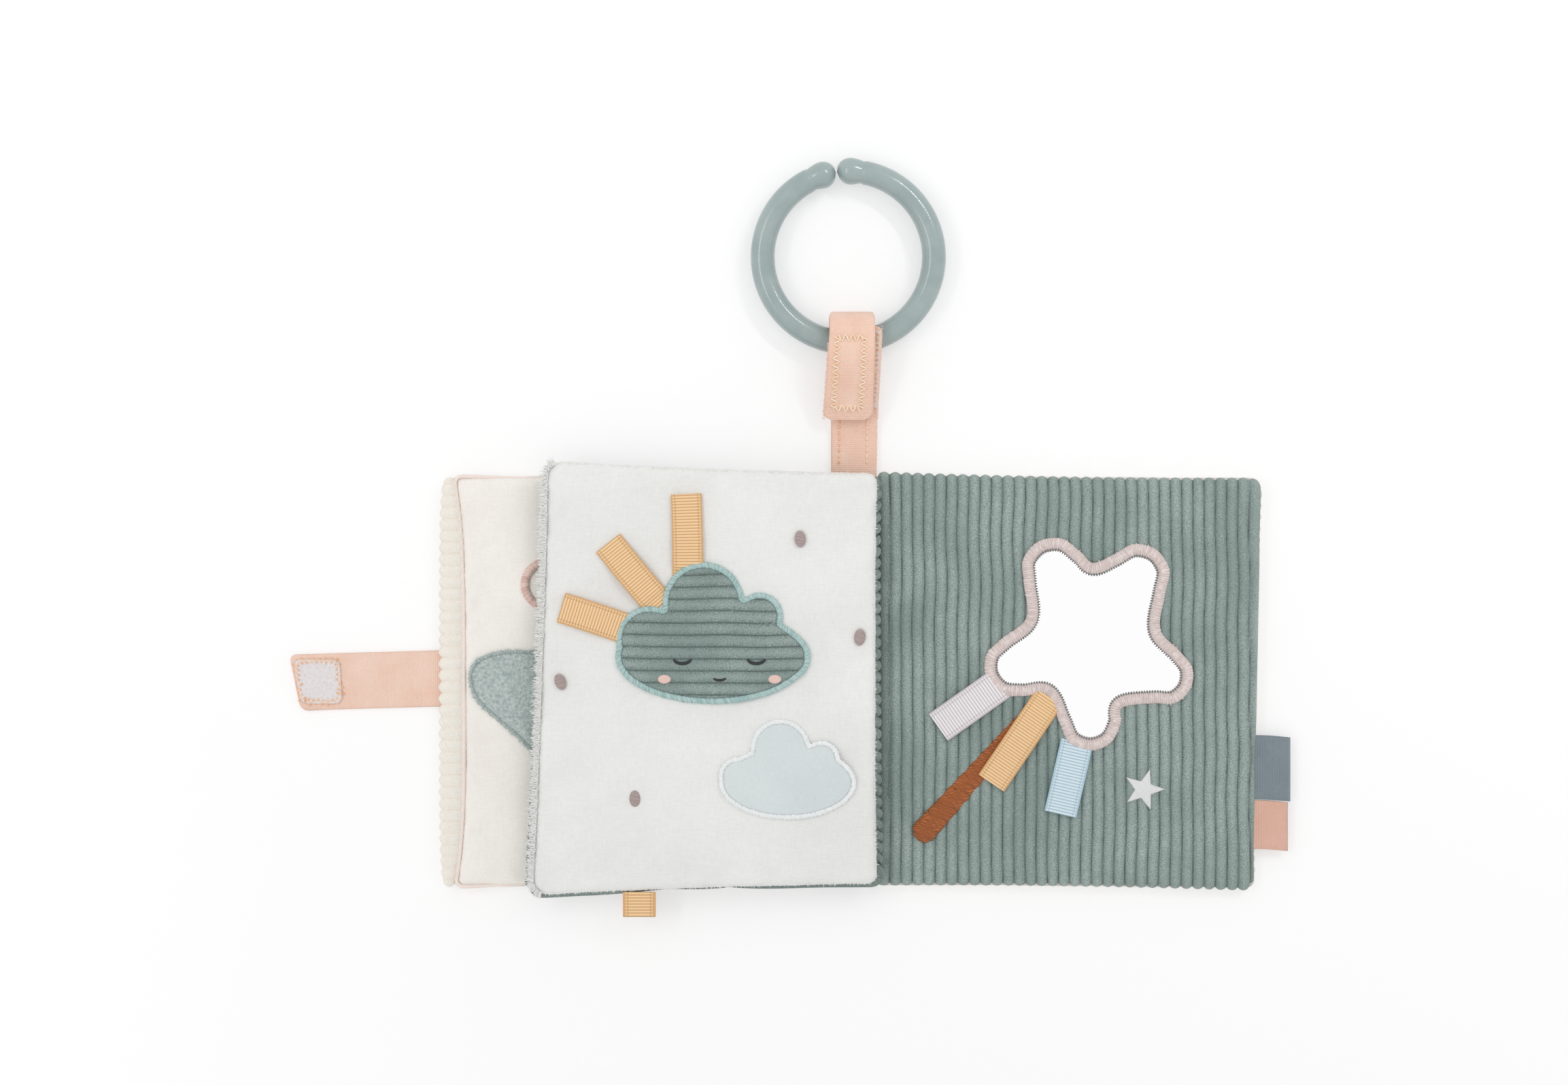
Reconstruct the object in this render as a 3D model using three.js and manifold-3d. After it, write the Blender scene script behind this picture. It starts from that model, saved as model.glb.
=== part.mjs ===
// A soft baby activity book that lies open and flat: two padded covers joined by a spine strip, a padded
// leaf sewn between them, appliqued play pieces on the pages, a closure strap that wraps round the closed
// book, and a hanging strap whose loop holds a split link ring. Millimetres, +Z up, +Y towards the ring.
// The origin is the middle of the back cover's underside.

import * as THREE from 'three';
import { mergeVertices } from 'three/addons/utils/BufferGeometryUtils.js';
import Module from 'manifold-3d';

const wasm = await Module();
wasm.setup();

// Gaps and overruns
const clearance = 0.3;
const seatGap = 0.1;
const overrun = 5;
const mergeTolerance = 0.0001;

// Padded leaves
const leafThickness = 7;
const fabricWall = 0.7;
const edgeRounding = 4;
const crownRise = 0.5;
const crownReach = 45;
const crownRings = [28, 12];
const sideDraw = 0.7;
const cornerRadius = 6;
const edgeAngles = [90, 62, 32, 0];
const outlineSteps = 5;

// Leaf sizes, and their corners as the book lies open, anticlockwise from the lower left, as shares of a
// leaf's width and height: from the back cover's middle, and from the inner edges of the other two
const backCoverWidth = 135.4;
const backCoverHeight = 146.8;
const backCoverCornerShares = [[-0.5, -0.4932], [0.486, -0.5061], [0.5059, 0.4925], [-0.5, 0.5075]];
const middleLeafWidth = 125.3;
const middleLeafHeight = 147.2;
const middleLeafCornerShares = [[-1, -0.5224], [0, -0.4932], [0, 0.5068], [-0.9545, 0.5367]];
const middleLeafInset = 1.6;
const frontCoverWidth = 140;
const frontCoverHeight = 146.7;
const frontPageCornerShares = [[-1, -0.5003], [0, -0.4867], [0, 0.4997], [-1, 0.4997]];
const rollWidth = 8.5;
const rollLength = 148;
const rollShift = -0.2;
const rollRounding = 3.6;
const rollCornerRadius = 2.8;
const pipingRadius = 0.5;
const pipingSides = 5;

// How far the sewn-on play pieces stand above each page
const starPageRelief = 1.8;
const cloudPageRelief = 1.5;
const ivoryPageRelief = 1.3;
const appliqueThickness = 0.8;
const satinHeight = 1.1;

// Spine
const hingeGap = 0.6;
const hingeZ = leafThickness / 2;
const spineLength = 146.4;
const spineShift = 1;
const spineTuck = 0.6;
const spineLayer = 1.2;
const spineCornerRadius = 1.5;
const cordRadius = 1.1;
const cordLength = 138;
const cordSides = 10;
const hemWidth = 2.4;

// Star mirror, its edge, ribbons, stick and small star
const starX = 7.5;
const starY = 15.2;
const starTipAngles = [53.5, 118, 199.5, 269.5, 333.6];
const starTipRadius = 40.2;
const starLobeRadius = 10.8;
const starValleyRadius = 26;
const starBorderWidth = 4.7;
const starLobeTurns = [-80, -40, 0, 40, 80];
const starSteps = 60;
const mirrorThickness = 0.5;
const ribbonThickness = 0.6;
const ribbonLift = 0.4;
// Each ribbon's root from the star's middle, its length and its width, as shares of the star's tip radius
const starRibbonShares = [
  { name: 'lilac_ribbon', across: -0.816, up: -0.398, angle: 215.2, length: 0.674, width: 0.299 },
  { name: 'blue_ribbon', across: -0.132, up: -0.953, angle: 257, length: 0.629, width: 0.294 },
  { name: 'ochre_ribbon', across: -0.43, up: -0.602, angle: 235.9, length: 0.826, width: 0.279 },
];
const ribbonTuck = 6;
const stickX = -52.2;
const stickY = -53.6;
const stickAngle = 48;
const stickLength = 64;
const stickEndRadius = 4.4;
const stickTopRadius = 3;
const stickHeight = 0.5;
const smallStarX = 26.6;
const smallStarY = -38.9;
const smallStarRadius = 6.9;
const smallStarValley = 2.9;
const smallStarPoints = 5;

// Clouds, sun ribbons and stitched dots; puffs are circles: [across, up, radius], as shares of the half width
const bigCloudX = -128.3;
const bigCloudY = 17.4;
const bigCloudWidth = 70.3;
const bigCloudPuffShares = [
  [-0.7, -0.1, 0.31], [-0.14, 0.24, 0.5], [0.46, 0.1, 0.31], [0.71, -0.28, 0.3],
  [0.4, -0.36, 0.36], [0, -0.32, 0.42], [-0.52, -0.3, 0.4],
];
const smallCloudX = -101.3;
const smallCloudY = -31.7;
const smallCloudWidth = 49.2;
const smallCloudPuffShares = [
  [-0.62, -0.18, 0.38], [-0.2, 0.28, 0.44], [0.34, 0.16, 0.42], [0.64, -0.24, 0.36],
  [0.1, -0.34, 0.4], [0, 0, 0.5],
];
const smallCloudBorder = 1.6;
const bigCloudBorder = 2.2;
const cloudSteps = 56;
// Each ribbon's root from the big cloud's middle, its length and its width, as shares of its half width
const sunRibbonShares = [
  { across: -0.265, up: 0.643, angle: 90, length: 0.785, width: 0.313 },
  { across: -0.626, up: 0.376, angle: 130.5, length: 0.711, width: 0.313 },
  { across: -0.89, up: 0.046, angle: 160.4, length: 0.694, width: 0.313 },
];
// Each dot's place from the leaf's inner edge, as shares of the leaf's width and height
const stitchedDotShares = [
  { across: -0.2235, up: 0.35, turn: 4 },
  { across: -0.0527, up: 0.11, turn: -6 },
  { across: -0.9098, up: 0.0014, turn: 20 },
  { across: -0.6967, up: -0.2833, turn: 0 },
];
const dotLength = 5.4;
const dotWidth = 3.4;
const dotHeight = 0.9;
const dotSteps = 12;

// Sage applique and stitched ring on the front cover's inside page
const sageFlapX = -189.1;
const sageFlapY = -7.4;
const sageFlapLength = 52.4;
const sageFlapWidth = 40;
const sageFlapAngle = -8;
const pinkRingX = -188.4;
const pinkRingY = 35;
const pinkRingRadius = 9.5;
const pinkRingBand = 3;
const flapSteps = 36;
const pinkRingSteps = 28;

// Labels and tag
const labelThickness = 1;
const greyLabelWidth = 23.2;
const greyLabelY = -31;
const greyLabelLength = 13.3;
const peachLabelWidth = 17.6;
const peachLabelY = -51.7;
const peachLabelLength = 10.9;
const tagX = -155.1;
const tagWidth = 11.8;
const tagLength = 8.4;

// Closure strap
const closureWidth = 20;
const closureY = 0.9;
const closureThickness = 1.8;
const closureTabLength = 25.2;
const closureAnchorLength = 7.3;
const closurePatchLength = 17.6;
const closurePatchWidth = 16;
const closurePatchStart = 4.2;
const patchThickness = 0.8;
const patchCornerRadius = 1.5;
const loopPatchX = 50;
const loopPatchLength = 24;
const loopPatchWidth = 17;
const loopPatchThickness = 0.65;

// Hanging strap and link ring
const hangWidth = 16;
const hangLayer = 1.2;
const hangLength = 47.3;
const hangFrontStart = 2.8;
const hangSlopeStart = 18.3;
const hangSlopeEnd = 5;
const hangFrontEnd = 5.1;
const hangBendRadius = 4;
const bendSteps = 3;
const foldReach = 11;
const frontLayerShift = 0.9;
const flapShift = -1.2;
const flapWidth = 17.2;
const flapLength = 29.3;
const hangPatchWidth = 13;
const hangPatchEnd = 4.5;
const ringOffsetX = -2;
const ringRadius = 30.9;
const tubeRadius = 4.35;
const ballRadius = 4.9;
const ballGap = 0.4;
const ringOpeningAngle = 98;
const ringSteps = 44;
const ringSides = 10;
const ballSteps = 14;
const ballBands = 9;

// Heights and hinge lines worked out from the sizes above
const middleLeafZ = leafThickness + ivoryPageRelief + clearance;
const turnedLeafZ = leafThickness + starPageRelief + clearance + cloudPageRelief;
const leafAxisZ = (middleLeafZ + turnedLeafZ + leafThickness) / 2;
const closedPageZ = turnedLeafZ + leafThickness + clearance + ivoryPageRelief;
const spineSpan = closedPageZ + leafThickness - 2 * hingeZ;
const placed = (shares, width, height, x) => shares.map(([across, up]) => [x + across * width, up * height]);
const backCoverCorners = placed(backCoverCornerShares, backCoverWidth, backCoverHeight, 0);
const backCoverLeft = backCoverCorners[0][0];
const middleLeafRight = backCoverLeft - middleLeafInset;
const middleLeafCorners = placed(middleLeafCornerShares, middleLeafWidth, middleLeafHeight, middleLeafRight);
const spineAxisX = backCoverLeft - hingeGap;
const coverAxisX = spineAxisX - spineSpan;
const leafAxisX = spineAxisX - (leafAxisZ - hingeZ);
const frontCoverRight = coverAxisX - hingeGap;
const frontCoverLeft = frontCoverRight - frontCoverWidth;
const pipingGap = 2 * (pipingRadius + seatGap);
const frontPageWidth = frontCoverWidth - rollWidth - pipingGap;
const frontPageCorners = placed(frontPageCornerShares, frontPageWidth, frontCoverHeight, frontCoverRight);
const spineBottom = spineShift - spineLength / 2;
const spineTop = spineShift + spineLength / 2;
const closureAxisX = frontCoverLeft - clearance - closureThickness / 2;
const closedClosureZ = 2 * hingeZ + spineSpan - closureThickness / 2;
const closureStrapLength = closedClosureZ + clearance + patchThickness + seatGap + closureThickness / 2;
const closureTabX = closureAxisX - closureStrapLength;
const hangAxisY = spineTop + clearance + hangLayer / 2;
const hangX = leafAxisX;
const tubeY = hangAxisY + hangLength;
const tubeZ = hangLayer + clearance + tubeRadius;

function fabric(color, roughness = 0.95) {
  return new THREE.MeshStandardMaterial({ color, roughness, metalness: 0 });
}

const sageCorduroy = fabric('#7f9893');
const creamCorduroy = fabric('#f6ecdc');
const whiteVelvet = fabric('#ededea');
const ivoryVelvet = fabric('#efe9e2');
const wadding = fabric('#f4f4f2');
const peachRibbon = fabric('#edbfa6', 0.85);
const ochreRibbon = fabric('#edb26a', 0.75);
const lilacRibbon = fabric('#e3d9dc', 0.75);
const blueRibbon = fabric('#b5d9e8', 0.75);
const brownThread = fabric('#9a4f25', 0.6);
const blushThread = fabric('#dcc8c4', 0.6);
const whiteThread = fabric('#f4f4f2', 0.6);
const tealThread = fabric('#8fb9b6', 0.6);
const taupeThread = fabric('#a5908c', 0.6);
const paleVelvet = fabric('#cfdde0');
const greyTwill = fabric('#7f8f97', 0.7);
const peachTwill = fabric('#dda995', 0.7);
const hookTape = fabric('#ebe6ee', 0.8);
const mirrorFilm = new THREE.MeshStandardMaterial({ color: '#eef2f3', roughness: 0.05, metalness: 0.9 });
const ringPlastic = new THREE.MeshStandardMaterial({ color: '#90a6a5', roughness: 0.25, metalness: 0 });

const book = new THREE.Group();

function addPiece(name, geometry, material) {
  const mesh = new THREE.Mesh(geometry, material);
  mesh.name = name;
  book.add(mesh);
  return mesh;
}

// Booleans

function solidOf(geometry) {
  const bare = geometry.clone();
  bare.deleteAttribute('normal');
  bare.deleteAttribute('uv');
  const merged = mergeVertices(bare, mergeTolerance);
  return new wasm.Manifold(new wasm.Mesh({
    numProp: 3,
    vertProperties: Float32Array.from(merged.attributes.position.array),
    triVerts: Uint32Array.from(merged.index.array),
  }));
}

function geometryOf(solid) {
  const mesh = solid.getMesh();
  const geometry = new THREE.BufferGeometry();
  geometry.setAttribute('position', new THREE.BufferAttribute(mesh.vertProperties, mesh.numProp));
  geometry.setIndex(new THREE.BufferAttribute(mesh.triVerts, 1));
  geometry.computeVertexNormals();
  return geometry;
}

const cut = (geometry, tool) => geometryOf(solidOf(geometry).subtract(solidOf(tool)));

function boxBetween(low, high) {
  const size = high.clone().sub(low);
  const middle = low.clone().add(high).multiplyScalar(0.5);
  return new THREE.BoxGeometry(size.x, size.y, size.z).translate(middle.x, middle.y, middle.z);
}

// Outlines: a list of points that runs anticlockwise, with its middle and its half sizes

function outlineOf(points) {
  const box = new THREE.Box2().setFromPoints(points);
  const half = box.getSize(new THREE.Vector2()).divideScalar(2);
  return { points, middle: box.getCenter(new THREE.Vector2()), half };
}

// Four corners joined by sides that draw in a little, as the seams of a stuffed panel do.
function panelOutline(corners, radius, draw) {
  const shape = new THREE.Shape();
  corners.forEach((corner, index) => {
    const next = corners[(index + 1) % corners.length];
    const afterNext = corners[(index + 2) % corners.length];
    const along = next.clone().sub(corner).normalize();
    const alongNext = afterNext.clone().sub(next).normalize();
    const inward = new THREE.Vector2(-along.y, along.x);
    const start = corner.clone().addScaledVector(along, radius);
    const end = next.clone().addScaledVector(along, -radius);
    const turned = next.clone().addScaledVector(alongNext, radius);
    const control = start.clone().add(end).multiplyScalar(0.5).addScaledVector(inward, 2 * draw);
    if (index === 0) shape.moveTo(start.x, start.y);
    shape.quadraticCurveTo(control.x, control.y, end.x, end.y);
    shape.quadraticCurveTo(next.x, next.y, turned.x, turned.y);
  });
  const points = shape.getPoints(outlineSteps);
  points.pop();
  return outlineOf(points);
}

const toVectors = (corners) => corners.map(([x, y]) => new THREE.Vector2(x, y));

const leafOutline = (corners) => panelOutline(toVectors(corners), cornerRadius, sideDraw);

function stripOutline(left, right, bottom, top, radius) {
  return panelOutline(toVectors([[left, bottom], [right, bottom], [right, top], [left, top]]), radius, 0);
}

// Where the line between two corners crosses a given place along one axis.
function crossing([from, to], axis, place) {
  const share = (place - from[axis]) / (to[axis] - from[axis]);
  return from[1 - axis] + share * (to[1 - axis] - from[1 - axis]);
}

// Moves each point of an outline along its own normal; a positive distance is outwards.
function offsetOutline(outline, distance) {
  const count = outline.points.length;
  return outlineOf(outline.points.map((point, index) => {
    const before = outline.points[(index + count - 1) % count];
    const after = outline.points[(index + 1) % count];
    const tangent = after.clone().sub(before).normalize();
    return new THREE.Vector2(point.x + tangent.y * distance, point.y - tangent.x * distance);
  }));
}

const shapeOf = (outline) => new THREE.Shape(outline.points);

function extrudeBetween(outline, low, high) {
  const extruded = new THREE.ExtrudeGeometry(shapeOf(outline), { depth: high - low, bevelEnabled: false });
  return extruded.translate(0, 0, low);
}

// Lofts: a surface through rings of points. Open ones start and end on a pole, closed ones join end to start.

function ringAt(outline, inset, z) {
  if (inset === null) return [new THREE.Vector3(outline.middle.x, outline.middle.y, z)];
  const { middle, half } = outline;
  return outline.points.map((point) => new THREE.Vector3(
    middle.x + (point.x - middle.x) * (1 - inset / half.x),
    middle.y + (point.y - middle.y) * (1 - inset / half.y),
    z,
  ));
}

function loftRings(rings, closed = false) {
  const positions = [];
  const starts = rings.map((ring) => {
    const start = positions.length / 3;
    ring.forEach((point) => positions.push(point.x, point.y, point.z));
    return start;
  });
  const indices = [];
  const bands = closed ? rings.length : rings.length - 1;
  for (let band = 0; band < bands; band += 1) {
    const next = (band + 1) % rings.length;
    const sides = Math.max(rings[band].length, rings[next].length);
    const at = (ring, side) => starts[ring] + (rings[ring].length === 1 ? 0 : side % sides);
    for (let side = 0; side < sides; side += 1) {
      const [a, b] = [at(band, side), at(next, side)];
      const [c, d] = [at(next, side + 1), at(band, side + 1)];
      if (b !== c) indices.push(a, b, c);
      if (a !== d) indices.push(a, c, d);
    }
  }
  const geometry = new THREE.BufferGeometry();
  geometry.setAttribute('position', new THREE.Float32BufferAttribute(positions, 3));
  geometry.setIndex(indices);
  geometry.computeVertexNormals();
  return geometry;
}

// Padded leaves

// Half a pad's section from its middle out to the seam: [inset, height]. Only the outer top is crowned.
function halfSection(form, isTop, offset, rim) {
  const shoulder = form.thickness - form.crown - offset;
  const floor = offset;
  const heightAt = (inset) => {
    const share = Math.min((inset - form.rounding) / crownReach, 1);
    return form.thickness - offset - form.crown * (1 - share) ** 2;
  };
  const crownInsets = isTop && offset === 0 ? form.crownRings.map((reach) => form.rounding + reach) : [];
  const rings = crownInsets.map((inset) => [inset, heightAt(inset)]);
  const edges = edgeAngles.map((degrees) => {
    const angle = THREE.MathUtils.degToRad(degrees);
    const inset = offset + (form.rounding - offset) * (1 - Math.cos(angle));
    return [inset, rim + ((isTop ? shoulder : floor) - rim) * Math.sin(angle)];
  });
  return [[null, isTop ? form.thickness - offset : floor], ...rings, ...edges];
}

const sectionRings = (outline, section) => section.map(([inset, z]) => ringAt(outline, inset, z));

function padGeometry(outline, form, offset = 0) {
  const rim = form.thickness / 2;
  const top = halfSection(form, true, offset, rim);
  const bottom = halfSection(form, false, offset, rim).reverse().slice(1);
  return loftRings(sectionRings(outline, [...top, ...bottom]));
}

// One fabric panel of a leaf: a shell from its middle out to the seam, with an open hollow for the wadding.
function panelGeometry(outline, form, isTop) {
  const rim = form.thickness / 2 + (isTop ? clearance : -clearance) / 2;
  const outer = halfSection(form, isTop, 0, rim);
  const inner = halfSection(form, isTop, fabricWall, rim);
  const section = isTop ? [...outer, ...inner.reverse()] : [...inner, ...outer.reverse()];
  return loftRings(sectionRings(outline, section));
}

const leafForm = { thickness: leafThickness, rounding: edgeRounding, crown: crownRise, crownRings };
const rollForm = { thickness: leafThickness, rounding: rollRounding, crown: 0, crownRings: [] };

// Thin pieces

// A flat piece with a slightly softened upper edge.
function plateGeometry(outline, base, height) {
  const softening = height / 2;
  return loftRings([
    ringAt(outline, null, base + height),
    ringAt(outline, softening, base + height),
    ringAt(outline, 0, base + softening),
    ringAt(outline, 0, base),
    ringAt(outline, null, base),
  ]);
}

// A satin-stitched edge: flat underneath and rounded above, from an outline inwards.
const satinSectionShares = [[1, 0], [0.75, 1], [0.25, 1], [0, 0]];

function satinEdge(outline, width, base, height) {
  return loftRings(satinSectionShares.map(([across, up]) => {
    const line = offsetOutline(outline, -width * across);
    return ringAt(line, 0, base + height * up);
  }), true);
}

// A cord that follows an outline at a distance outside it.
function cordRound(outline, distance, radius, z, sides) {
  return loftRings(Array.from({ length: sides }, (_, side) => {
    const angle = (2 * Math.PI * side) / sides;
    const line = offsetOutline(outline, distance + radius * Math.cos(angle));
    return ringAt(line, 0, z - radius * Math.sin(angle));
  }), true);
}

// A path of straight runs with softened corners, in run and height.
function softPath(corners, radius) {
  const path = new THREE.Path();
  path.moveTo(corners[0].x, corners[0].y);
  for (let index = 1; index < corners.length - 1; index += 1) {
    const corner = corners[index];
    const into = corner.clone().sub(corners[index - 1]).normalize();
    const out = corners[index + 1].clone().sub(corner).normalize();
    const start = corner.clone().addScaledVector(into, -radius);
    const end = corner.clone().addScaledVector(out, radius);
    path.lineTo(start.x, start.y);
    path.quadraticCurveTo(corner.x, corner.y, end.x, end.y);
  }
  const last = corners[corners.length - 1];
  path.lineTo(last.x, last.y);
  return path.getPoints(bendSteps);
}

function pathNormals(path) {
  return path.map((point, index) => {
    const before = path[Math.max(index - 1, 0)];
    const after = path[Math.min(index + 1, path.length - 1)];
    const tangent = after.clone().sub(before).normalize();
    return new THREE.Vector2(-tangent.y, tangent.x);
  });
}

function offsetPath(path, distance) {
  const normals = pathNormals(path);
  return path.map((point, index) => point.clone().addScaledVector(normals[index], distance));
}

// The stretch of a path between two runs, ends included.
function stretchOf(path, from, to) {
  const at = (run) => {
    const index = Math.max(path.findIndex((point) => point.x >= run), 1);
    const [before, after] = [path[index - 1], path[index]];
    return before.clone().lerp(after, (run - before.x) / (after.x - before.x));
  };
  const between = path.filter((point) => point.x > from + clearance && point.x < to - clearance);
  return [at(from), ...between, at(to)];
}

const halfTurnShares = [0.25, 0.5, 0.75];

// A ribbon extruded across its width, its path in run and height. A rounded root turns about the first point.
function bandGeometry(path, thickness, width, roundRoot = false) {
  const sides = [offsetPath(path, thickness / 2), offsetPath(path, -thickness / 2)];
  const facing = path[1].clone().sub(path[0]).angle();
  const root = roundRoot ? halfTurnShares.map((share) => {
    const angle = facing + Math.PI / 2 + Math.PI * share;
    return new THREE.Vector2(Math.cos(angle), Math.sin(angle)).multiplyScalar(thickness / 2).add(path[0]);
  }) : [];
  const shape = new THREE.Shape([...sides[1], ...sides[0].reverse(), ...root]);
  const geometry = new THREE.ExtrudeGeometry(shape, { depth: width, bevelEnabled: false });
  return geometry.rotateX(Math.PI / 2).translate(0, width / 2, 0);
}

function roundedPlate(length, width, thickness) {
  const outline = stripOutline(-length / 2, length / 2, -width / 2, width / 2, patchCornerRadius);
  return extrudeBetween(outline, 0, thickness);
}

// Leaves and spine

const backOutline = leafOutline(backCoverCorners);
const middleOutline = leafOutline(middleLeafCorners);
const frontOutline = leafOutline(frontPageCorners);
const waddingOffset = fabricWall + clearance;

function makeBackCover() {
  addPiece('back_cover_page', panelGeometry(backOutline, leafForm, true), sageCorduroy);
  const grow = (extra) => [loopPatchLength + 2 * extra, loopPatchWidth + 2 * extra];
  const recessDepth = loopPatchThickness + seatGap;
  const backing = roundedPlate(...grow(clearance + fabricWall), fabricWall + recessDepth)
    .translate(loopPatchX, closureY, 0);
  const recess = roundedPlate(...grow(clearance), recessDepth + overrun)
    .translate(loopPatchX, closureY, -overrun);
  const panel = solidOf(panelGeometry(backOutline, leafForm, false)).add(solidOf(backing));
  addPiece('back_cover_outer', geometryOf(panel.subtract(solidOf(recess))), creamCorduroy);
  const relief = roundedPlate(...grow(waddingOffset + clearance), recessDepth + waddingOffset)
    .translate(loopPatchX, closureY, 0);
  addPiece('back_cover_wadding', cut(padGeometry(backOutline, leafForm, waddingOffset), relief), wadding);
  const tape = roundedPlate(loopPatchLength, loopPatchWidth, loopPatchThickness);
  const patch = addPiece('closure_loop_patch', tape, hookTape);
  patch.position.set(loopPatchX, closureY, 0);
}

function makeMiddleLeaf() {
  const page = addPiece('middle_leaf_page', panelGeometry(middleOutline, leafForm, true), whiteVelvet);
  const back = addPiece('middle_leaf_back', panelGeometry(middleOutline, leafForm, false), sageCorduroy);
  const [low, high] = [new THREE.Vector3(leafAxisX - hemWidth, 0, 0), new THREE.Vector3(0, 0, leafThickness)];
  [low.y, high.y] = [middleLeafCorners[0][1], middleLeafCorners[3][1]];
  const hem = boxBetween(low.addScalar(-overrun), high.addScalar(overrun));
  const pad = cut(padGeometry(middleOutline, leafForm, waddingOffset), hem);
  const filling = addPiece('middle_leaf_wadding', pad, wadding);
  [page, back, filling].forEach((piece) => piece.position.setZ(middleLeafZ));

  const line = new THREE.CylinderGeometry(cordRadius, cordRadius, cordLength, cordSides);
  const cord = addPiece('binding_cord', line, whiteThread);
  cord.position.set(leafAxisX, spineShift, leafAxisZ);
}

function makeFrontCover() {
  addPiece('front_cover_page', panelGeometry(frontOutline, leafForm, true), ivoryVelvet);
  addPiece('front_cover_outer', panelGeometry(frontOutline, leafForm, false), creamCorduroy);
  addPiece('front_cover_wadding', padGeometry(frontOutline, leafForm, waddingOffset), wadding);
  addPiece('front_cover_piping',
    cordRound(frontOutline, pipingGap / 2, pipingRadius, hingeZ, pipingSides), peachRibbon);
  const rollRight = frontCoverLeft + rollWidth;
  const [rollBottom, rollTop] = [rollShift - rollLength / 2, rollShift + rollLength / 2];
  const rollOutline = stripOutline(frontCoverLeft, rollRight, rollBottom, rollTop, rollCornerRadius);
  const pocket = boxBetween(
    new THREE.Vector3(frontCoverLeft - overrun, closureY - closureWidth / 2 - clearance, -overrun),
    new THREE.Vector3(
      frontCoverLeft + clearance + closureAnchorLength + clearance,
      closureY + closureWidth / 2 + clearance,
      closureThickness + clearance,
    ),
  );
  addPiece('front_cover_roll', cut(padGeometry(rollOutline, rollForm), pocket), creamCorduroy);
}

function makeSpine() {
  const [left, right] = [coverAxisX - spineTuck, spineAxisX + spineTuck];
  const outline = stripOutline(left, right, spineBottom, spineTop, spineCornerRadius);
  addPiece('spine_outer', plateGeometry(outline, 0, spineLayer), creamCorduroy);
  addPiece('spine_lining', plateGeometry(outline, spineLayer + clearance, spineLayer), sageCorduroy);
}

// Star page

// The star's outline runs through a round end on each lobe and a valley point between neighbouring lobes.
function starOutline() {
  const lobeMiddle = starTipRadius - starLobeRadius;
  const points = [];
  starTipAngles.forEach((degrees, index) => {
    const tip = THREE.MathUtils.degToRad(degrees);
    const nextDegrees = starTipAngles[(index + 1) % starTipAngles.length];
    const sweep = THREE.MathUtils.degToRad((nextDegrees - degrees + 360) % 360);
    for (const turn of starLobeTurns) {
      const around = tip + THREE.MathUtils.degToRad(turn);
      points.push(new THREE.Vector3(
        starX + lobeMiddle * Math.cos(tip) + starLobeRadius * Math.cos(around),
        starY + lobeMiddle * Math.sin(tip) + starLobeRadius * Math.sin(around),
        0,
      ));
    }
    const valley = tip + sweep / 2;
    points.push(new THREE.Vector3(
      starX + starValleyRadius * Math.cos(valley), starY + starValleyRadius * Math.sin(valley), 0,
    ));
  });
  const curve = new THREE.CatmullRomCurve3(points, true);
  const samples = Array.from({ length: starSteps }, (_, step) => curve.getPointAt(step / starSteps));
  return outlineOf(samples.map((point) => new THREE.Vector2(point.x, point.y)));
}

// A ribbon that lies on a page, tucked under an applique: it ripples gently towards its free end.
const rippleShares = [[0, 0], [0.3, 0], [0.55, 0.7], [0.8, 1], [1, 0.5]];

function pageRibbon(shares, { x, y, size }, base, keepOut) {
  const reach = shares.length * size + ribbonTuck;
  const path = rippleShares.map(([along, up]) => new THREE.Vector2(
    along * reach - ribbonTuck, base + ribbonThickness / 2 + up * ribbonLift,
  ));
  const band = bandGeometry(path, ribbonThickness, shares.width * size)
    .rotateZ(THREE.MathUtils.degToRad(shares.angle))
    .translate(x + shares.across * size, y + shares.up * size, 0);
  return cut(band, keepOut);
}

function makeStarPage() {
  const base = leafThickness + clearance;
  const edge = starOutline();
  const mirror = offsetOutline(edge, -starBorderWidth - clearance);
  addPiece('star_mirror', plateGeometry(mirror, base, mirrorThickness), mirrorFilm);
  addPiece('star_border', satinEdge(edge, starBorderWidth, base, satinHeight), blushThread);
  const keepOut = extrudeBetween(offsetOutline(edge, clearance), 0, leafThickness + overrun);

  const ribbonMaterials = { lilac_ribbon: lilacRibbon, blue_ribbon: blueRibbon, ochre_ribbon: ochreRibbon };
  const star = { x: starX, y: starY, size: starTipRadius };
  starRibbonShares.forEach((ribbon) => {
    const overStick = ribbon.name === 'ochre_ribbon' ? stickHeight + seatGap : 0;
    addPiece(ribbon.name, pageRibbon(ribbon, star, base + overStick, keepOut), ribbonMaterials[ribbon.name]);
  });

  const stick = new THREE.Shape();
  stick.absarc(0, 0, stickEndRadius, Math.PI / 2, Math.PI * 1.5);
  stick.lineTo(stickLength, -stickTopRadius);
  stick.lineTo(stickLength, stickTopRadius);
  const stickPlate = plateGeometry(outlineOf(stick.getPoints(outlineSteps)), base, stickHeight)
    .rotateZ(THREE.MathUtils.degToRad(stickAngle)).translate(stickX, stickY, 0);
  addPiece('satin_stick', cut(stickPlate, keepOut), brownThread);

  const starPoints = Array.from({ length: 2 * smallStarPoints }, (_, index) => {
    const radius = index % 2 ? smallStarValley : smallStarRadius;
    const angle = (Math.PI * index) / smallStarPoints;
    return new THREE.Vector2(smallStarX + radius * Math.cos(angle), smallStarY + radius * Math.sin(angle));
  });
  addPiece('small_star', plateGeometry(outlineOf(starPoints), base, appliqueThickness), whiteThread);
}

// Cloud page

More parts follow.
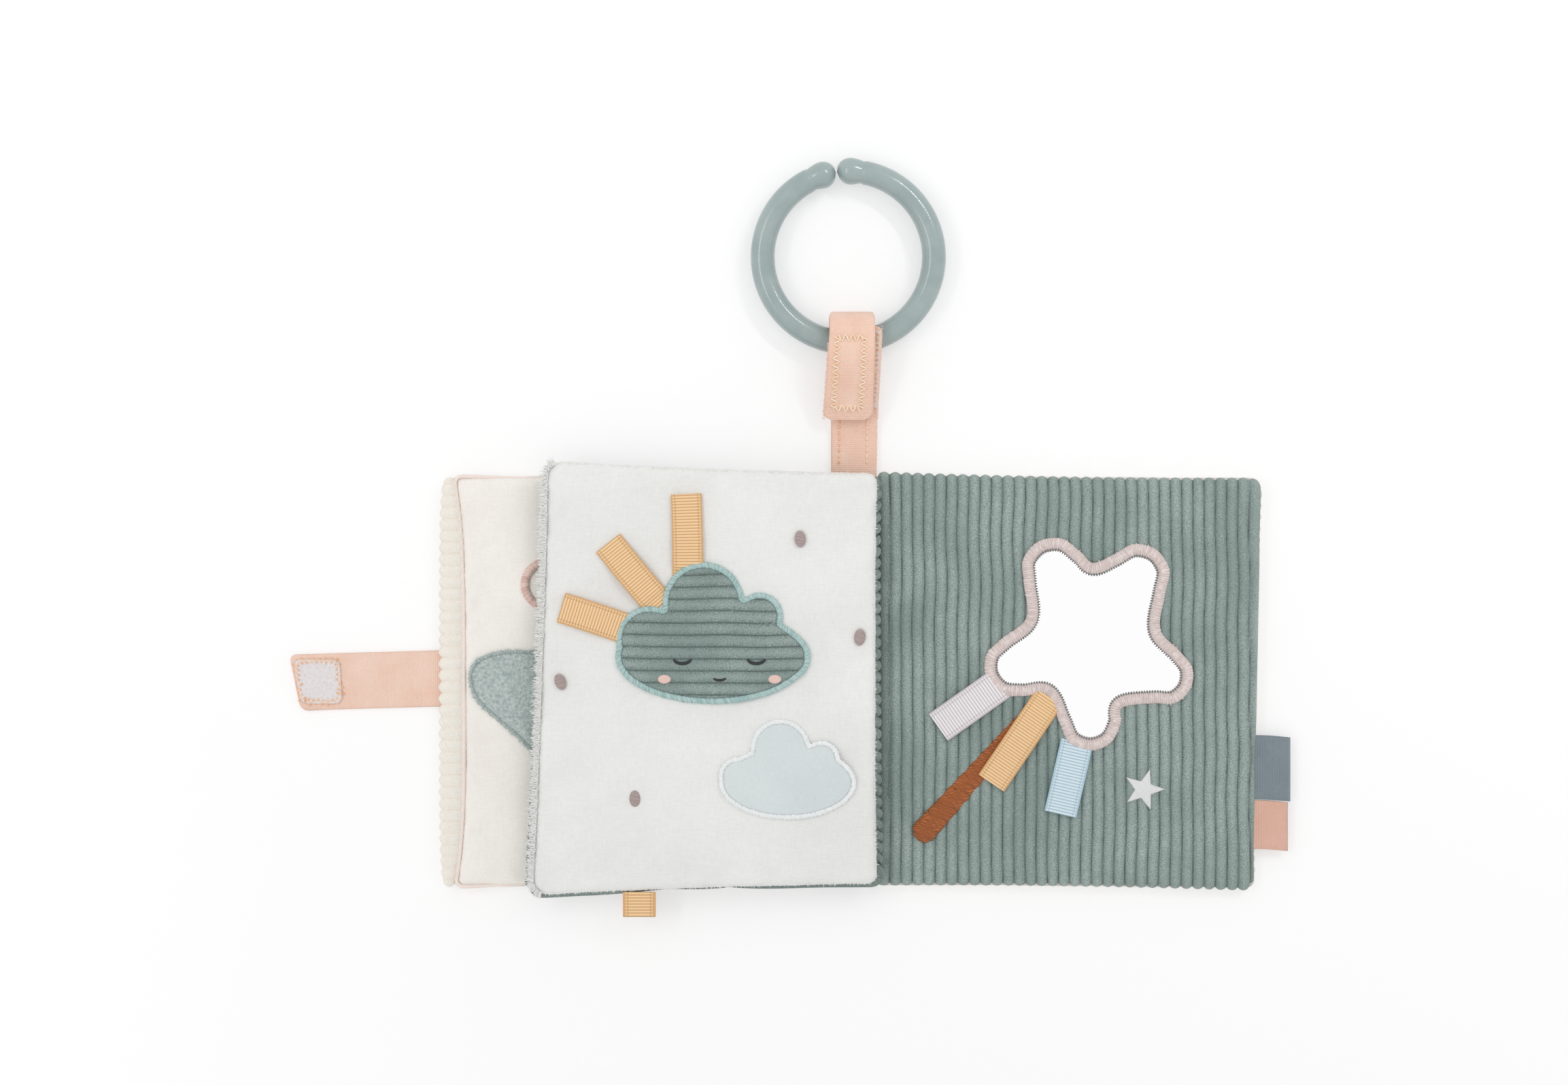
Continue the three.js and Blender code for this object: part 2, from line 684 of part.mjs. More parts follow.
// The outer line of a group of round puffs, seen from their shared middle.
function cloudOutline(x, y, width, puffShares) {
  const half = width / 2;
  return outlineOf(Array.from({ length: cloudSteps }, (_, step) => {
    const angle = (2 * Math.PI * step) / cloudSteps;
    const [cos, sin] = [Math.cos(angle), Math.sin(angle)];
    const reach = puffShares.reduce((farthest, [across, up, radius]) => {
      const along = half * (across * cos + up * sin);
      const aside = half * (across * sin - up * cos);
      const chord = (half * radius) ** 2 - aside ** 2;
      return chord < 0 ? farthest : Math.max(farthest, along + Math.sqrt(chord));
    }, 0);
    return new THREE.Vector2(x + reach * cos, y + reach * sin);
  }));
}

function makeCloud(name, outline, base, border, fill, thread) {
  addPiece(name, plateGeometry(offsetOutline(outline, -border - clearance), base, appliqueThickness), fill);
  addPiece(`${name}_border`, satinEdge(outline, border, base, satinHeight), thread);
}

function makeCloudPage() {
  const base = middleLeafZ + leafThickness + clearance;
  const bigCloud = cloudOutline(bigCloudX, bigCloudY, bigCloudWidth, bigCloudPuffShares);
  makeCloud('big_cloud', bigCloud, base, bigCloudBorder, sageCorduroy, tealThread);
  const smallCloud = cloudOutline(smallCloudX, smallCloudY, smallCloudWidth, smallCloudPuffShares);
  makeCloud('small_cloud', smallCloud, base, smallCloudBorder, paleVelvet, whiteThread);

  const keepOut = extrudeBetween(offsetOutline(bigCloud, clearance), 0, base + overrun);
  const cloud = { x: bigCloudX, y: bigCloudY, size: bigCloudWidth / 2 };
  sunRibbonShares.forEach((ribbon, index) => {
    addPiece(`sun_ribbon_${index + 1}`, pageRibbon(ribbon, cloud, base, keepOut), ochreRibbon);
  });
  stitchedDotShares.forEach(({ across, up, turn }, index) => {
    const [x, y] = [middleLeafRight + across * middleLeafWidth, up * middleLeafHeight];
    const oval = ellipseOutline(x, y, dotLength, dotWidth, turn + 90, dotSteps);
    addPiece(`stitched_dot_${index + 1}`, plateGeometry(oval, base, dotHeight), taupeThread);
  });

  const tagRoot = crossing(middleLeafCorners.slice(0, 2), 0, tagX) - labelThickness / 2;
  const tag = addPiece('bottom_tag', bandGeometry(
    [new THREE.Vector2(0, 0), new THREE.Vector2(tagLength, 0)], labelThickness, tagWidth, true,
  ), ochreRibbon);
  tag.rotation.z = -Math.PI / 2;
  tag.position.set(tagX, tagRoot, middleLeafZ + leafThickness / 2);
}

// Front cover's inside page

function ellipseOutline(x, y, length, width, degrees, steps) {
  const turn = new THREE.Vector2();
  return outlineOf(Array.from({ length: steps }, (_, step) => {
    const angle = (2 * Math.PI * step) / steps;
    const point = new THREE.Vector2((length / 2) * Math.cos(angle), (width / 2) * Math.sin(angle));
    return point.rotateAround(turn, THREE.MathUtils.degToRad(degrees)).add(new THREE.Vector2(x, y));
  }));
}

function makeIvoryPage() {
  const base = leafThickness + clearance;
  const flap = ellipseOutline(sageFlapX, sageFlapY, sageFlapLength, sageFlapWidth, sageFlapAngle, flapSteps);
  addPiece('sage_flap', plateGeometry(flap, base, appliqueThickness), sageCorduroy);
  const ring = ellipseOutline(pinkRingX, pinkRingY, 2 * pinkRingRadius, 2 * pinkRingRadius, 0, pinkRingSteps);
  addPiece('pink_ring', satinEdge(ring, pinkRingBand, base, appliqueThickness), blushThread);
}

// Labels and closure strap

const flatPath = (from, to, z) => [new THREE.Vector2(from, z), new THREE.Vector2(to, z)];

function makeLabels() {
  const labels = [
    ['grey_label', greyLabelLength, greyLabelWidth, greyLabelY, greyTwill],
    ['peach_label', peachLabelLength, peachLabelWidth, peachLabelY, peachTwill],
  ];
  labels.forEach(([name, length, width, y, material]) => {
    const label = addPiece(name, bandGeometry(flatPath(0, length, 0), labelThickness, width, true), material);
    label.position.set(crossing(backCoverCorners.slice(1, 3), 1, y) + labelThickness / 2, y, hingeZ);
  });
}

function makeClosure() {
  const z = closureThickness / 2;
  const anchorEnd = frontCoverLeft + clearance;
  const anchorPath = flatPath(anchorEnd, anchorEnd + closureAnchorLength, z);
  const anchor = addPiece('closure_anchor',
    bandGeometry(anchorPath, closureThickness, closureWidth), peachRibbon);
  anchor.position.y = closureY;

  const strapEnd = closureStrapLength - closureThickness / 2 - clearance;
  const strap = addPiece('closure_strap',
    bandGeometry(flatPath(0, strapEnd, 0), closureThickness, closureWidth, true), peachRibbon);
  strap.rotation.z = Math.PI;
  strap.position.set(closureAxisX, closureY, z);

  const tab = addPiece('closure_tab',
    bandGeometry(flatPath(0, closureTabLength, 0), closureThickness, closureWidth, true), peachRibbon);
  tab.rotation.z = Math.PI;
  tab.position.set(closureTabX, closureY, z);

  const patch = addPiece('closure_hook_patch',
    roundedPlate(closurePatchLength, closurePatchWidth, patchThickness), hookTape);
  const patchX = closureTabX - closurePatchStart - closurePatchLength / 2;
  patch.position.set(patchX, closureY, closureThickness + seatGap);
}

// Hanging strap and link ring; the strap's paths are in distance from the strap's root and height. The front
// layer clears the upright ring at the strap's edge, where the ring curves up to its sides.

function makeHangingStrap() {
  const addBand = (name, [path, thickness, width, roundRoot], material, shift = 0) => {
    const mesh = addPiece(name, bandGeometry(path, thickness, width, roundRoot), material);
    mesh.rotation.z = Math.PI / 2;
    mesh.position.set(hangX + shift, hangAxisY, 0);
  };
  const backZ = hangLayer / 2;
  const frontLowZ = hangLayer + seatGap + hangLayer / 2;
  const edgeAngle = Math.asin((hangWidth / 2 + frontLayerShift - ringOffsetX) / ringRadius);
  const ringRise = ringRadius * (1 - Math.cos(edgeAngle)) + tubeRadius / Math.cos(edgeAngle);
  const frontHighZ = tubeZ + ringRise + clearance + hangLayer / 2;
  const patchLift = hangLayer / 2 + seatGap + patchThickness / 2;
  const hookLift = patchLift + patchThickness + seatGap;
  const flapLift = hookLift + patchThickness / 2 + seatGap + hangLayer / 2;
  const flapZ = frontHighZ + flapLift;
  const bendRadius = (flapZ - backZ) / 2;
  const bendMiddle = hangLength + foldReach - hangLayer / 2 - bendRadius;

  const bend = new THREE.Path();
  bend.moveTo(0, backZ);
  bend.lineTo(bendMiddle, backZ);
  bend.absarc(bendMiddle, backZ + bendRadius, bendRadius, -Math.PI / 2, Math.PI / 2);
  addBand('hang_strap', [bend.getPoints(outlineSteps), hangLayer, hangWidth, true], peachRibbon);

  const front = softPath([
    new THREE.Vector2(hangFrontStart, frontLowZ),
    new THREE.Vector2(hangSlopeStart, frontLowZ),
    new THREE.Vector2(hangLength - hangSlopeEnd, frontHighZ),
    new THREE.Vector2(hangLength + hangFrontEnd, frontHighZ),
  ], hangBendRadius);
  addBand('hang_strap_front', [front, hangLayer, hangWidth], peachRibbon, frontLayerShift);

  const flapRoot = bendMiddle - clearance - hangLayer / 2;
  const flapEnd = flapRoot - flapLength;
  const patchEnd = hangLength + hangPatchEnd - clearance;
  const loopPatch = stretchOf(offsetPath(front, patchLift), flapEnd + hangBendRadius, patchEnd);
  addBand('hang_loop_patch', [loopPatch, patchThickness, hangPatchWidth], hookTape, frontLayerShift);
  const hookPatch = stretchOf(offsetPath(front, hookLift), flapEnd + hangBendRadius, flapRoot - hangLayer);
  addBand('hang_hook_patch', [hookPatch, patchThickness, hangPatchWidth], hookTape, flapShift);
  const flap = stretchOf(offsetPath(front, flapLift), flapEnd, flapRoot).reverse();
  addBand('hang_flap', [flap, hangLayer, flapWidth, true], peachRibbon, flapShift);
}

// The ring's middle line: a circle that is open between its two ball ends.
class RingLine extends THREE.Curve {
  constructor(radius, start, sweep) {
    super();
    Object.assign(this, { radius, start, sweep });
  }

  getPoint(share, target = new THREE.Vector3()) {
    const angle = this.start + this.sweep * share;
    return target.set(this.radius * Math.cos(angle), this.radius * Math.sin(angle), 0);
  }
}

function makeLinkRing() {
  const opening = THREE.MathUtils.degToRad(ringOpeningAngle);
  const halfGap = Math.asin((ballRadius + ballGap / 2) / ringRadius);
  const line = new RingLine(ringRadius, opening + halfGap, 2 * Math.PI - 2 * halfGap);
  const section = new THREE.Shape(Array.from({ length: ringSides }, (_, side) => {
    const angle = (2 * Math.PI * side) / ringSides;
    return new THREE.Vector2(tubeRadius * Math.cos(angle), tubeRadius * Math.sin(angle));
  }));
  const along = { steps: ringSteps, extrudePath: line, bevelEnabled: false };
  const tube = new THREE.ExtrudeGeometry(section, along);
  const ends = [0, 1].map((share) => {
    const middle = line.getPoint(share);
    return new THREE.SphereGeometry(ballRadius, ballSteps, ballBands).translate(middle.x, middle.y, 0);
  });
  const whole = ends.reduce((solid, end) => solid.add(solidOf(end)), solidOf(tube));
  const ring = addPiece('link_ring', geometryOf(whole), ringPlastic);
  ring.position.set(hangX + ringOffsetX, tubeY + ringRadius, tubeZ);
}

makeBackCover();
makeStarPage();
makeLabels();
makeSpine();
makeFrontCover();
makeIvoryPage();
makeClosure();
makeMiddleLeaf();
makeCloudPage();
makeHangingStrap();
makeLinkRing();

export default book;
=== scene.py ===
"""A soft baby activity book that lies open and flat: the camera, the light and the finished pieces.

Shapes are worked out in millimetres on numpy grids and written into their meshes in metres.
"""

import bpy
import numpy as np
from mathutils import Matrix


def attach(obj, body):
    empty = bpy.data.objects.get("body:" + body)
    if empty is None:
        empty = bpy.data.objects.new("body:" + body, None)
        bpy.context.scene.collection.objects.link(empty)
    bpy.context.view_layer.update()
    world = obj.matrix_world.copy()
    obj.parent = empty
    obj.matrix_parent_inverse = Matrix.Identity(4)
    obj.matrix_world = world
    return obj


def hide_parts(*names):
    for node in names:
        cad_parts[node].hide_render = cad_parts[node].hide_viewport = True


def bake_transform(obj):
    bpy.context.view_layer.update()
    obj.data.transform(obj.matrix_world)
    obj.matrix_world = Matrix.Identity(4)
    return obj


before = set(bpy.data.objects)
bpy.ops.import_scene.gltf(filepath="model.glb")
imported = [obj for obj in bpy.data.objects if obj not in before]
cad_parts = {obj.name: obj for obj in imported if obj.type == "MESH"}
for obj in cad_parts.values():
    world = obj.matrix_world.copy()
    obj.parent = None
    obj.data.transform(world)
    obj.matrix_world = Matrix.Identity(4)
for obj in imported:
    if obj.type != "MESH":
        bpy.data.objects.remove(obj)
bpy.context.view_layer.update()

MM = 0.001

# Camera: straight down, at the scale that the photograph gives the pages

FRAME_WIDTH = 565.0
FRAME_MIDDLE = (-103.1, 50.2)
CAMERA_HEIGHT = 1600.0
CAMERA_AIM_Z = 8.0
SENSOR_WIDTH = 36.0

camera_data = bpy.data.cameras.new("camera")
camera_data.sensor_width = SENSOR_WIDTH
camera_data.lens = SENSOR_WIDTH * (CAMERA_HEIGHT - CAMERA_AIM_Z) / FRAME_WIDTH
camera = bpy.data.objects.new("camera", camera_data)
camera.location = (FRAME_MIDDLE[0] * MM, FRAME_MIDDLE[1] * MM, CAMERA_HEIGHT * MM)
bpy.context.scene.collection.objects.link(camera)
bpy.context.scene.camera = camera
bpy.context.scene.view_settings.view_transform = "Standard"


# Finishes: classes that add nodes to a material, and a function for each kind of cloth. Pitches in millimetres

GROUND_PITCH = 0.62
GROSGRAIN_PITCH = 1.08


def linear(colour):
    """A written sRGB colour, such as "#7f9893", as the linear numbers that a shader takes."""
    parts = np.array([int(colour[place:place + 2], 16) for place in (1, 3, 5)]) / 255
    parts = np.where(parts <= 0.04045, parts / 12.92, ((parts + 0.055) / 1.055) ** 2.4)
    return (*parts, 1.0)


class Value:
    """One output of a new node, whose inputs are numbers, colours, values or sockets. Sums, products and powers of
    values add Math nodes."""

    def __init__(self, tree, kind, inputs, output=0, **settings):
        node = tree.nodes.new("ShaderNode" + kind)
        for key, value in settings.items():
            setattr(node, key, value)
        for key, value in inputs.items():
            value = value.socket if isinstance(value, Value) else value
            if isinstance(value, bpy.types.NodeSocket):
                tree.links.new(value, node.inputs[key])
            else:
                node.inputs[key].default_value = value
        self.tree, self.socket = tree, node.outputs[output]

    def math(self, operation, other=0.0):
        return Value(self.tree, "Math", {0: self, 1: other}, operation=operation)

    def __add__(self, other):
        return self.math("ADD", other)

    def __sub__(self, other):
        return self.math("SUBTRACT", other)

    def __mul__(self, other):
        return self.math("MULTIPLY", other)

    def __pow__(self, power):
        return self.math("POWER", power)

    def __abs__(self):
        return self.math("ABSOLUTE")

    def wave(self, length):
        """The sine of a full turn for each length."""
        return (self * (2 * np.pi / length)).math("SINE")

    def between(self, low, high):
        """The value moved from low..high to 0..1, held there."""
        return Value(self.tree, "MapRange", {"Value": self, "From Min": low, "From Max": high})


class Finish:
    """A material under construction."""

    def __init__(self, name, colour, roughness=0.9, sheen=0.0):
        self.material = bpy.data.materials.new(name)
        self.material.use_nodes = True
        self.tree = self.material.node_tree
        self.shader = self.tree.nodes["Principled BSDF"]
        self.shader.inputs["Base Color"].default_value = linear(colour)
        self.shader.inputs["Roughness"].default_value = roughness
        self.shader.inputs["Sheen Weight"].default_value = sheen
        self.shader.inputs["Sheen Roughness"].default_value = 0.5

    def put(self, kind, inputs, output=0, **settings):
        return Value(self.tree, kind, inputs, output, **settings)

    def place(self, stretch=(1.0, 1.0, 1.0)):
        """Object coordinates in millimetres, stretched."""
        spot = self.put("TexCoord", {}, "Object")
        return self.put("Mapping", {"Vector": spot, "Scale": tuple(share / MM for share in stretch)})

    def cloth(self):
        """The piece's own map: millimetres along the cloth and across it."""
        return [self.put("SeparateXYZ", {0: self.put("TexCoord", {}, "UV")}, axis) for axis in (0, 1)]

    def noise(self, spot, scale, detail=2.0):
        return self.put("TexNoise", {"Vector": spot, "Scale": scale, "Detail": detail}, "Fac")

    def share(self, name):
        """A value that the mesh carries at each point."""
        return self.put("Attribute", {}, "Fac", attribute_name=name)

    def blend(self, share, low, high):
        """A colour between two, each written or a value."""
        low, high = (linear(colour) if isinstance(colour, str) else colour for colour in (low, high))
        return self.put("Mix", {0: share, 6: low, 7: high}, 2, data_type="RGBA")

    def paint(self, share, low, high):
        """Colours the surface between two colours."""
        self.tree.links.new(self.blend(share, low, high).socket, self.shader.inputs["Base Color"])

    def emboss(self, height, depth, strength=0.9):
        """Raised detail: height from 0 to 1, depth in millimetres."""
        bump = self.put("Bump", {"Height": height, "Distance": depth * MM, "Strength": strength})
        self.tree.links.new(bump.socket, self.shader.inputs["Normal"])


def corduroy(name, groove, side, top, along):
    """Corduroy: round ribs of fine pile, painted paler towards their tops as painted light, and narrow grooves
    painted dark as painted shade, in which the ground's threads show as a row of dots. Along is the axis of the
    ribs, 0 for x and 1 for y."""
    finish = Finish(name, side, 0.95, 0.2)
    height = finish.share("relief")
    pile = finish.noise(finish.place(), 2.8, 3.0)
    brushed = finish.noise(finish.place(), 0.045, 3.0).between(0.35, 0.65)
    # Painted light: the ribs' colour runs from the side colour up to the pale top colour with their height, so
    # their tops are painted lighter.
    lit = (pile.between(0.38, 0.62) * 0.6 + height ** 3.0 * 0.3) * (brushed * 0.5 + 0.75)
    dots = finish.put("SeparateXYZ", {0: finish.place()}, along).wave(GROUND_PITCH)
    ground_in_painted_shade = finish.blend(dots.between(0.0, 0.7) * 0.3, groove, top)
    # Painted shade: below a middling height the grooves take the dark groove colour, flecked with the ground's
    # threads as paler dots.
    finish.paint(height.between(0.15, 0.55), ground_in_painted_shade, finish.blend(lit, side, top))
    finish.emboss(pile, 0.5)
    return finish.material


def velvet(name, shadow, light, grain=1.0):
    """Short-pile velvet: nearly plain, with a faint cross grain and clouds where the pile is brushed."""
    finish = Finish(name, light, 0.95, 0.2)
    weft = finish.noise(finish.place((0.35, 2.2, 1.0)), 0.9 * grain, 3.0)
    warp = finish.noise(finish.place((2.2, 0.35, 1.0)), 0.9 * grain, 3.0)
    tips = finish.noise(finish.place(), 3.5)
    brushed = finish.noise(finish.place(), 0.035)
    threads = (weft + warp) * 0.5
    finish.paint(threads.between(0.35, 0.65) * 0.5 + brushed.between(0.3, 0.7) * 0.5, shadow, light)
    finish.emboss(threads + tips * 0.6, 0.3, 0.6)
    return finish.material


def grosgrain(name, dark, light, width):
    """Ribbon: round ribs across it, painted paler on their crests and darker between them as painted light and
    shade, flat selvedges and a line of running stitches inside them.
    """
    finish = Finish(name, light, 0.65, 0.15)
    along, across = finish.cloth()
    rib, reach = abs(along.wave(2 * GROSGRAIN_PITCH)), abs(across)
    ribs = rib ** 0.8 * reach.between(width / 2 - 0.35, width / 2 - 0.75)
    line = abs(reach - (width / 2 - 1.5)).between(0.22, 0.08)
    stitch = line * rib.between(0.2, 0.6)
    threads = finish.noise(finish.place(), 5.0)
    # Painted light and shade: the ribs' crests are painted towards the light colour and the hollows between them
    # towards the dark one; the running stitches take the dark colour.
    finish.paint(stitch * 0.45, finish.blend(threads * 0.5 + ribs * 0.7, dark, light), dark)
    finish.emboss(ribs - line * 0.5 + threads * 0.15, 0.3)
    return finish.material


def twill(name, dark, light, width, pitch=0.7):
    """Soft tape: fine lines across it, a slightly darker selvedge and cloudy wear."""
    finish = Finish(name, light, 0.85, 0.3)
    along, across = finish.cloth()
    line = along.wave(pitch)
    edge = abs(across).between(width / 2 - 0.9, width / 2 - 0.2)
    clouds = finish.noise(finish.place(), 0.12, 3.0)
    fluff = finish.noise(finish.place((1.0, 1.6, 1.0)), 2.4, 3.0)
    shade = line.between(-1.0, 1.0) * 0.25 + clouds.between(0.3, 0.7) * 0.35 + fluff.between(0.3, 0.7) * 0.5
    finish.paint(edge * 0.25, finish.blend(shade, dark, light), dark)
    finish.emboss(line * 0.3 + fluff, 0.3, 0.6)
    return finish.material


def satin(name, dark, light, pitch, slant=0.0):
    """Satin stitch: close threads across the band or slanting over it, some paler."""
    finish = Finish(name, light, 0.5, 0.1)
    along, across = finish.cloth()
    wander = finish.noise(finish.put("TexCoord", {}, "UV"), 0.9)
    run = wander * 0.5 + (across * slant + along)
    threads = abs(run.wave(2 * pitch))
    lot = finish.put("TexNoise", {"W": run * (1.0 / pitch), "Scale": 1.0}, "Fac", noise_dimensions="1D")
    finish.paint(lot.between(0.3, 0.7) * 0.5 + threads * 0.5, dark, light)
    finish.emboss(threads, 0.22)
    return finish.material


def loops(name, shadow, light, scale=1.4):
    """Fleece or hook-and-loop tape: a tangle of tiny loops."""
    finish = Finish(name, light, 0.9, 0.3)
    tangle = finish.noise(finish.place(), scale, 4.0)
    fine = finish.noise(finish.place(), scale * 3.0)
    finish.paint(tangle.between(0.3, 0.65), shadow, light)
    finish.emboss(tangle + fine * 0.5, 0.8)
    return finish.material


def thread(name, dark, light, roughness=0.55):
    """Thread: each stitch has its own tint, and its plies wind about each other."""
    finish = Finish(name, light, roughness, 0.1)
    twist = finish.noise(finish.place(), 5.0)
    finish.paint(twist.between(0.35, 0.65) * 0.35 + finish.share("tint") * 0.65, dark, light)
    finish.emboss(twist, 0.1, 0.6)
    return finish.material


def mirror_film(name):
    """Mirror film over padding: almost flat, with long soft dents."""
    finish = Finish(name, "#fdfdfd", 0.1)
    finish.shader.inputs["Metallic"].default_value = 1.0
    finish.emboss(finish.noise(finish.place(), 0.04, 1.0), 0.4, 0.4)
    return finish.material


def plastic(name, dark, light):
    """Moulded plastic: smooth and glossy with a faint unevenness."""
    finish = Finish(name, light, 0.22)
    finish.shader.inputs["Coat Weight"].default_value = 0.6
    finish.shader.inputs["Coat Roughness"].default_value = 0.07
    finish.paint(finish.noise(finish.place(), 0.15).between(0.3, 0.7), dark, light)
    return finish.material


# Curves and fields

WALE_WANDER = 0.24
WALE_WANDER_LENGTH = 34


def full_turn(count):
    """Even angles once round, from 0 to one step short of a full turn."""
    return np.linspace(0, 2 * np.pi, count, endpoint=False)


def arc(middle, radii, angle):
    """Points of a circle or an ellipse about a middle, at angles in radians."""
    return np.asarray(middle) + np.asarray(radii) * np.stack([np.cos(angle), np.sin(angle)], axis=-1)


def heading(degrees):
    """The direction at an angle on a page, and the one a quarter turn to its left."""
    direction = arc((0, 0), 1, np.radians(degrees))
    return direction, np.array([-direction[1], direction[0]])


def quarter_round(share, least=0.0):
    """A quarter circle's height, which grows from the root of least to 1 while share grows from 0 to 1."""
    return np.sqrt(np.maximum(1 - (1 - np.clip(share, 0, 1)) ** 2, least))


def squared(value, power):
    """A sine or cosine raised to a power with its sign kept: a power below one makes a circle squarer."""
    return np.sign(value) * np.abs(value) ** power


def unit(steps):
    """The same directions with a length of 1."""
    return steps / np.maximum(np.linalg.norm(steps, axis=-1, keepdims=True), 1e-9)


def run_along(points):
    """How far along its line each point lies."""
    return np.concatenate([[0], np.cumsum(np.linalg.norm(np.diff(points, axis=0), axis=1))])


def by_turns(count, even, odd):
    """Two values that take turns."""
    return np.where(np.arange(count) % 2 == 0, even, odd)


def points_at(x, y, z):
    """Points from their coordinates, each one number or a row of them."""
    return np.column_stack(np.broadcast_arrays(x, y, z))


def raised(line, z):
    """A flat line set at a height."""
    return points_at(*line.T, z)


def unevenness(x, y, length, seed):
    """A smooth random field of about -1 to 1: a sum of sine waves of about one length in many directions."""
    random, waves = np.random.default_rng(seed), 12
    turns, starts = random.uniform(0, 2 * np.pi, (2, waves))
    pace = 2 * np.pi / length * random.uniform(0.6, 1.5, waves)
    return sum(np.sin(step * (x * np.cos(turn) + y * np.sin(turn)) + start)
               for turn, start, step in zip(turns, starts, pace)) / np.sqrt(waves)


def wales(across, along, pitch, seed):
    """Corduroy's relief, 0 in a groove and 1 on a rib: a sine arch, raised to a power below one, on a line that
    wanders a little."""
    wander = across + WALE_WANDER * unevenness(across * 0.3, along, WALE_WANDER_LENGTH, seed)
    return np.abs(np.sin(np.pi * wander / pitch)) ** 0.55


# Meshes

def grid_faces(rows, columns, loop_rows=False, loop_columns=False):
    """The quads of a grid of points kept row by row. Gives their points, and their rows and columns, unwrapped."""
    row, column = np.meshgrid(np.arange(rows - (not loop_rows)), np.arange(columns - (not loop_columns)),
                              indexing="ij")
    row = row.ravel()[:, None] + np.array([0, 1, 1, 0])
    column = column.ravel()[:, None] + np.array([0, 0, 1, 1])
    return (row % rows) * columns + column % columns, row, column


def fan_faces(rim, middle, flip=False):
    """Triangles from a closed rim of points to one middle point."""
    rim = np.asarray(rim)
    faces = np.stack([rim, np.roll(rim, -1), np.full(len(rim), middle)], axis=1)
    return faces[:, ::-1] if flip else faces


def make_piece(name, points, faces, material, body, nodes=(), cloth=None, values=None, cuts=()):
    """A finished mesh that rides on a body and stands for CAD nodes. Cloth holds a map place for each face corner,
    values a number for each point, and cuts the rings of points whose edges are crisp."""
    mesh = bpy.data.meshes.new(name)
    mesh.from_pydata((np.asarray(points) * MM).tolist(), [], [face for block in faces for face in block.tolist()])
    if cloth is not None:
        layer = mesh.uv_layers.new(name="cloth")
        layer.data.foreach_set("uv", np.concatenate([block.reshape(-1, 2) for block in cloth]).ravel())
    for key, value in (values or {}).items():
        mesh.attributes.new(key, "FLOAT", "POINT").data.foreach_set("value", np.asarray(value, np.float32).ravel())
    mesh.shade_smooth()
    if len(cuts):
        ends = np.empty(2 * len(mesh.edges), np.int32)
        mesh.edges.foreach_get("vertices", ends)
        crisp = np.any([np.isin(ends.reshape(-1, 2), cut).all(axis=1) for cut in cuts], axis=0)
        mesh.attributes.new("sharp_edge", "BOOLEAN", "EDGE").data.foreach_set("value", crisp)
    mesh.materials.append(material)
    piece = bpy.data.objects.new(name, mesh)
    bpy.context.scene.collection.objects.link(piece)
    if nodes:
        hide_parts(*nodes)
    if body:
        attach(piece, body)
    return piece


def surface_normals(points):
    """Unit normals of a grid of points, from the cross product of its steps along rows and columns."""
    return unit(np.cross(np.gradient(points, axis=0), np.gradient(points, axis=1)))


# Padded panels

CROWN_SPAN = 45
DENT_LENGTH = 34
PUCKER_LENGTH = 9
PUCKER_FADE = 7
FRILL_LENGTH = 11
DENT_LIMIT = 0.3


def pad_places(length, edge, step):
    """Places across a pad: even turns of a quarter round over each edge, and even steps between."""
    turn = edge * (1 - np.cos(np.linspace(0, np.pi / 2, 9)))
    level = np.linspace(edge, length - edge, int((length - 2 * edge) / step) + 1)[1:-1]
    return np.concatenate([turn, level, length - turn[::-1]]) - length / 2


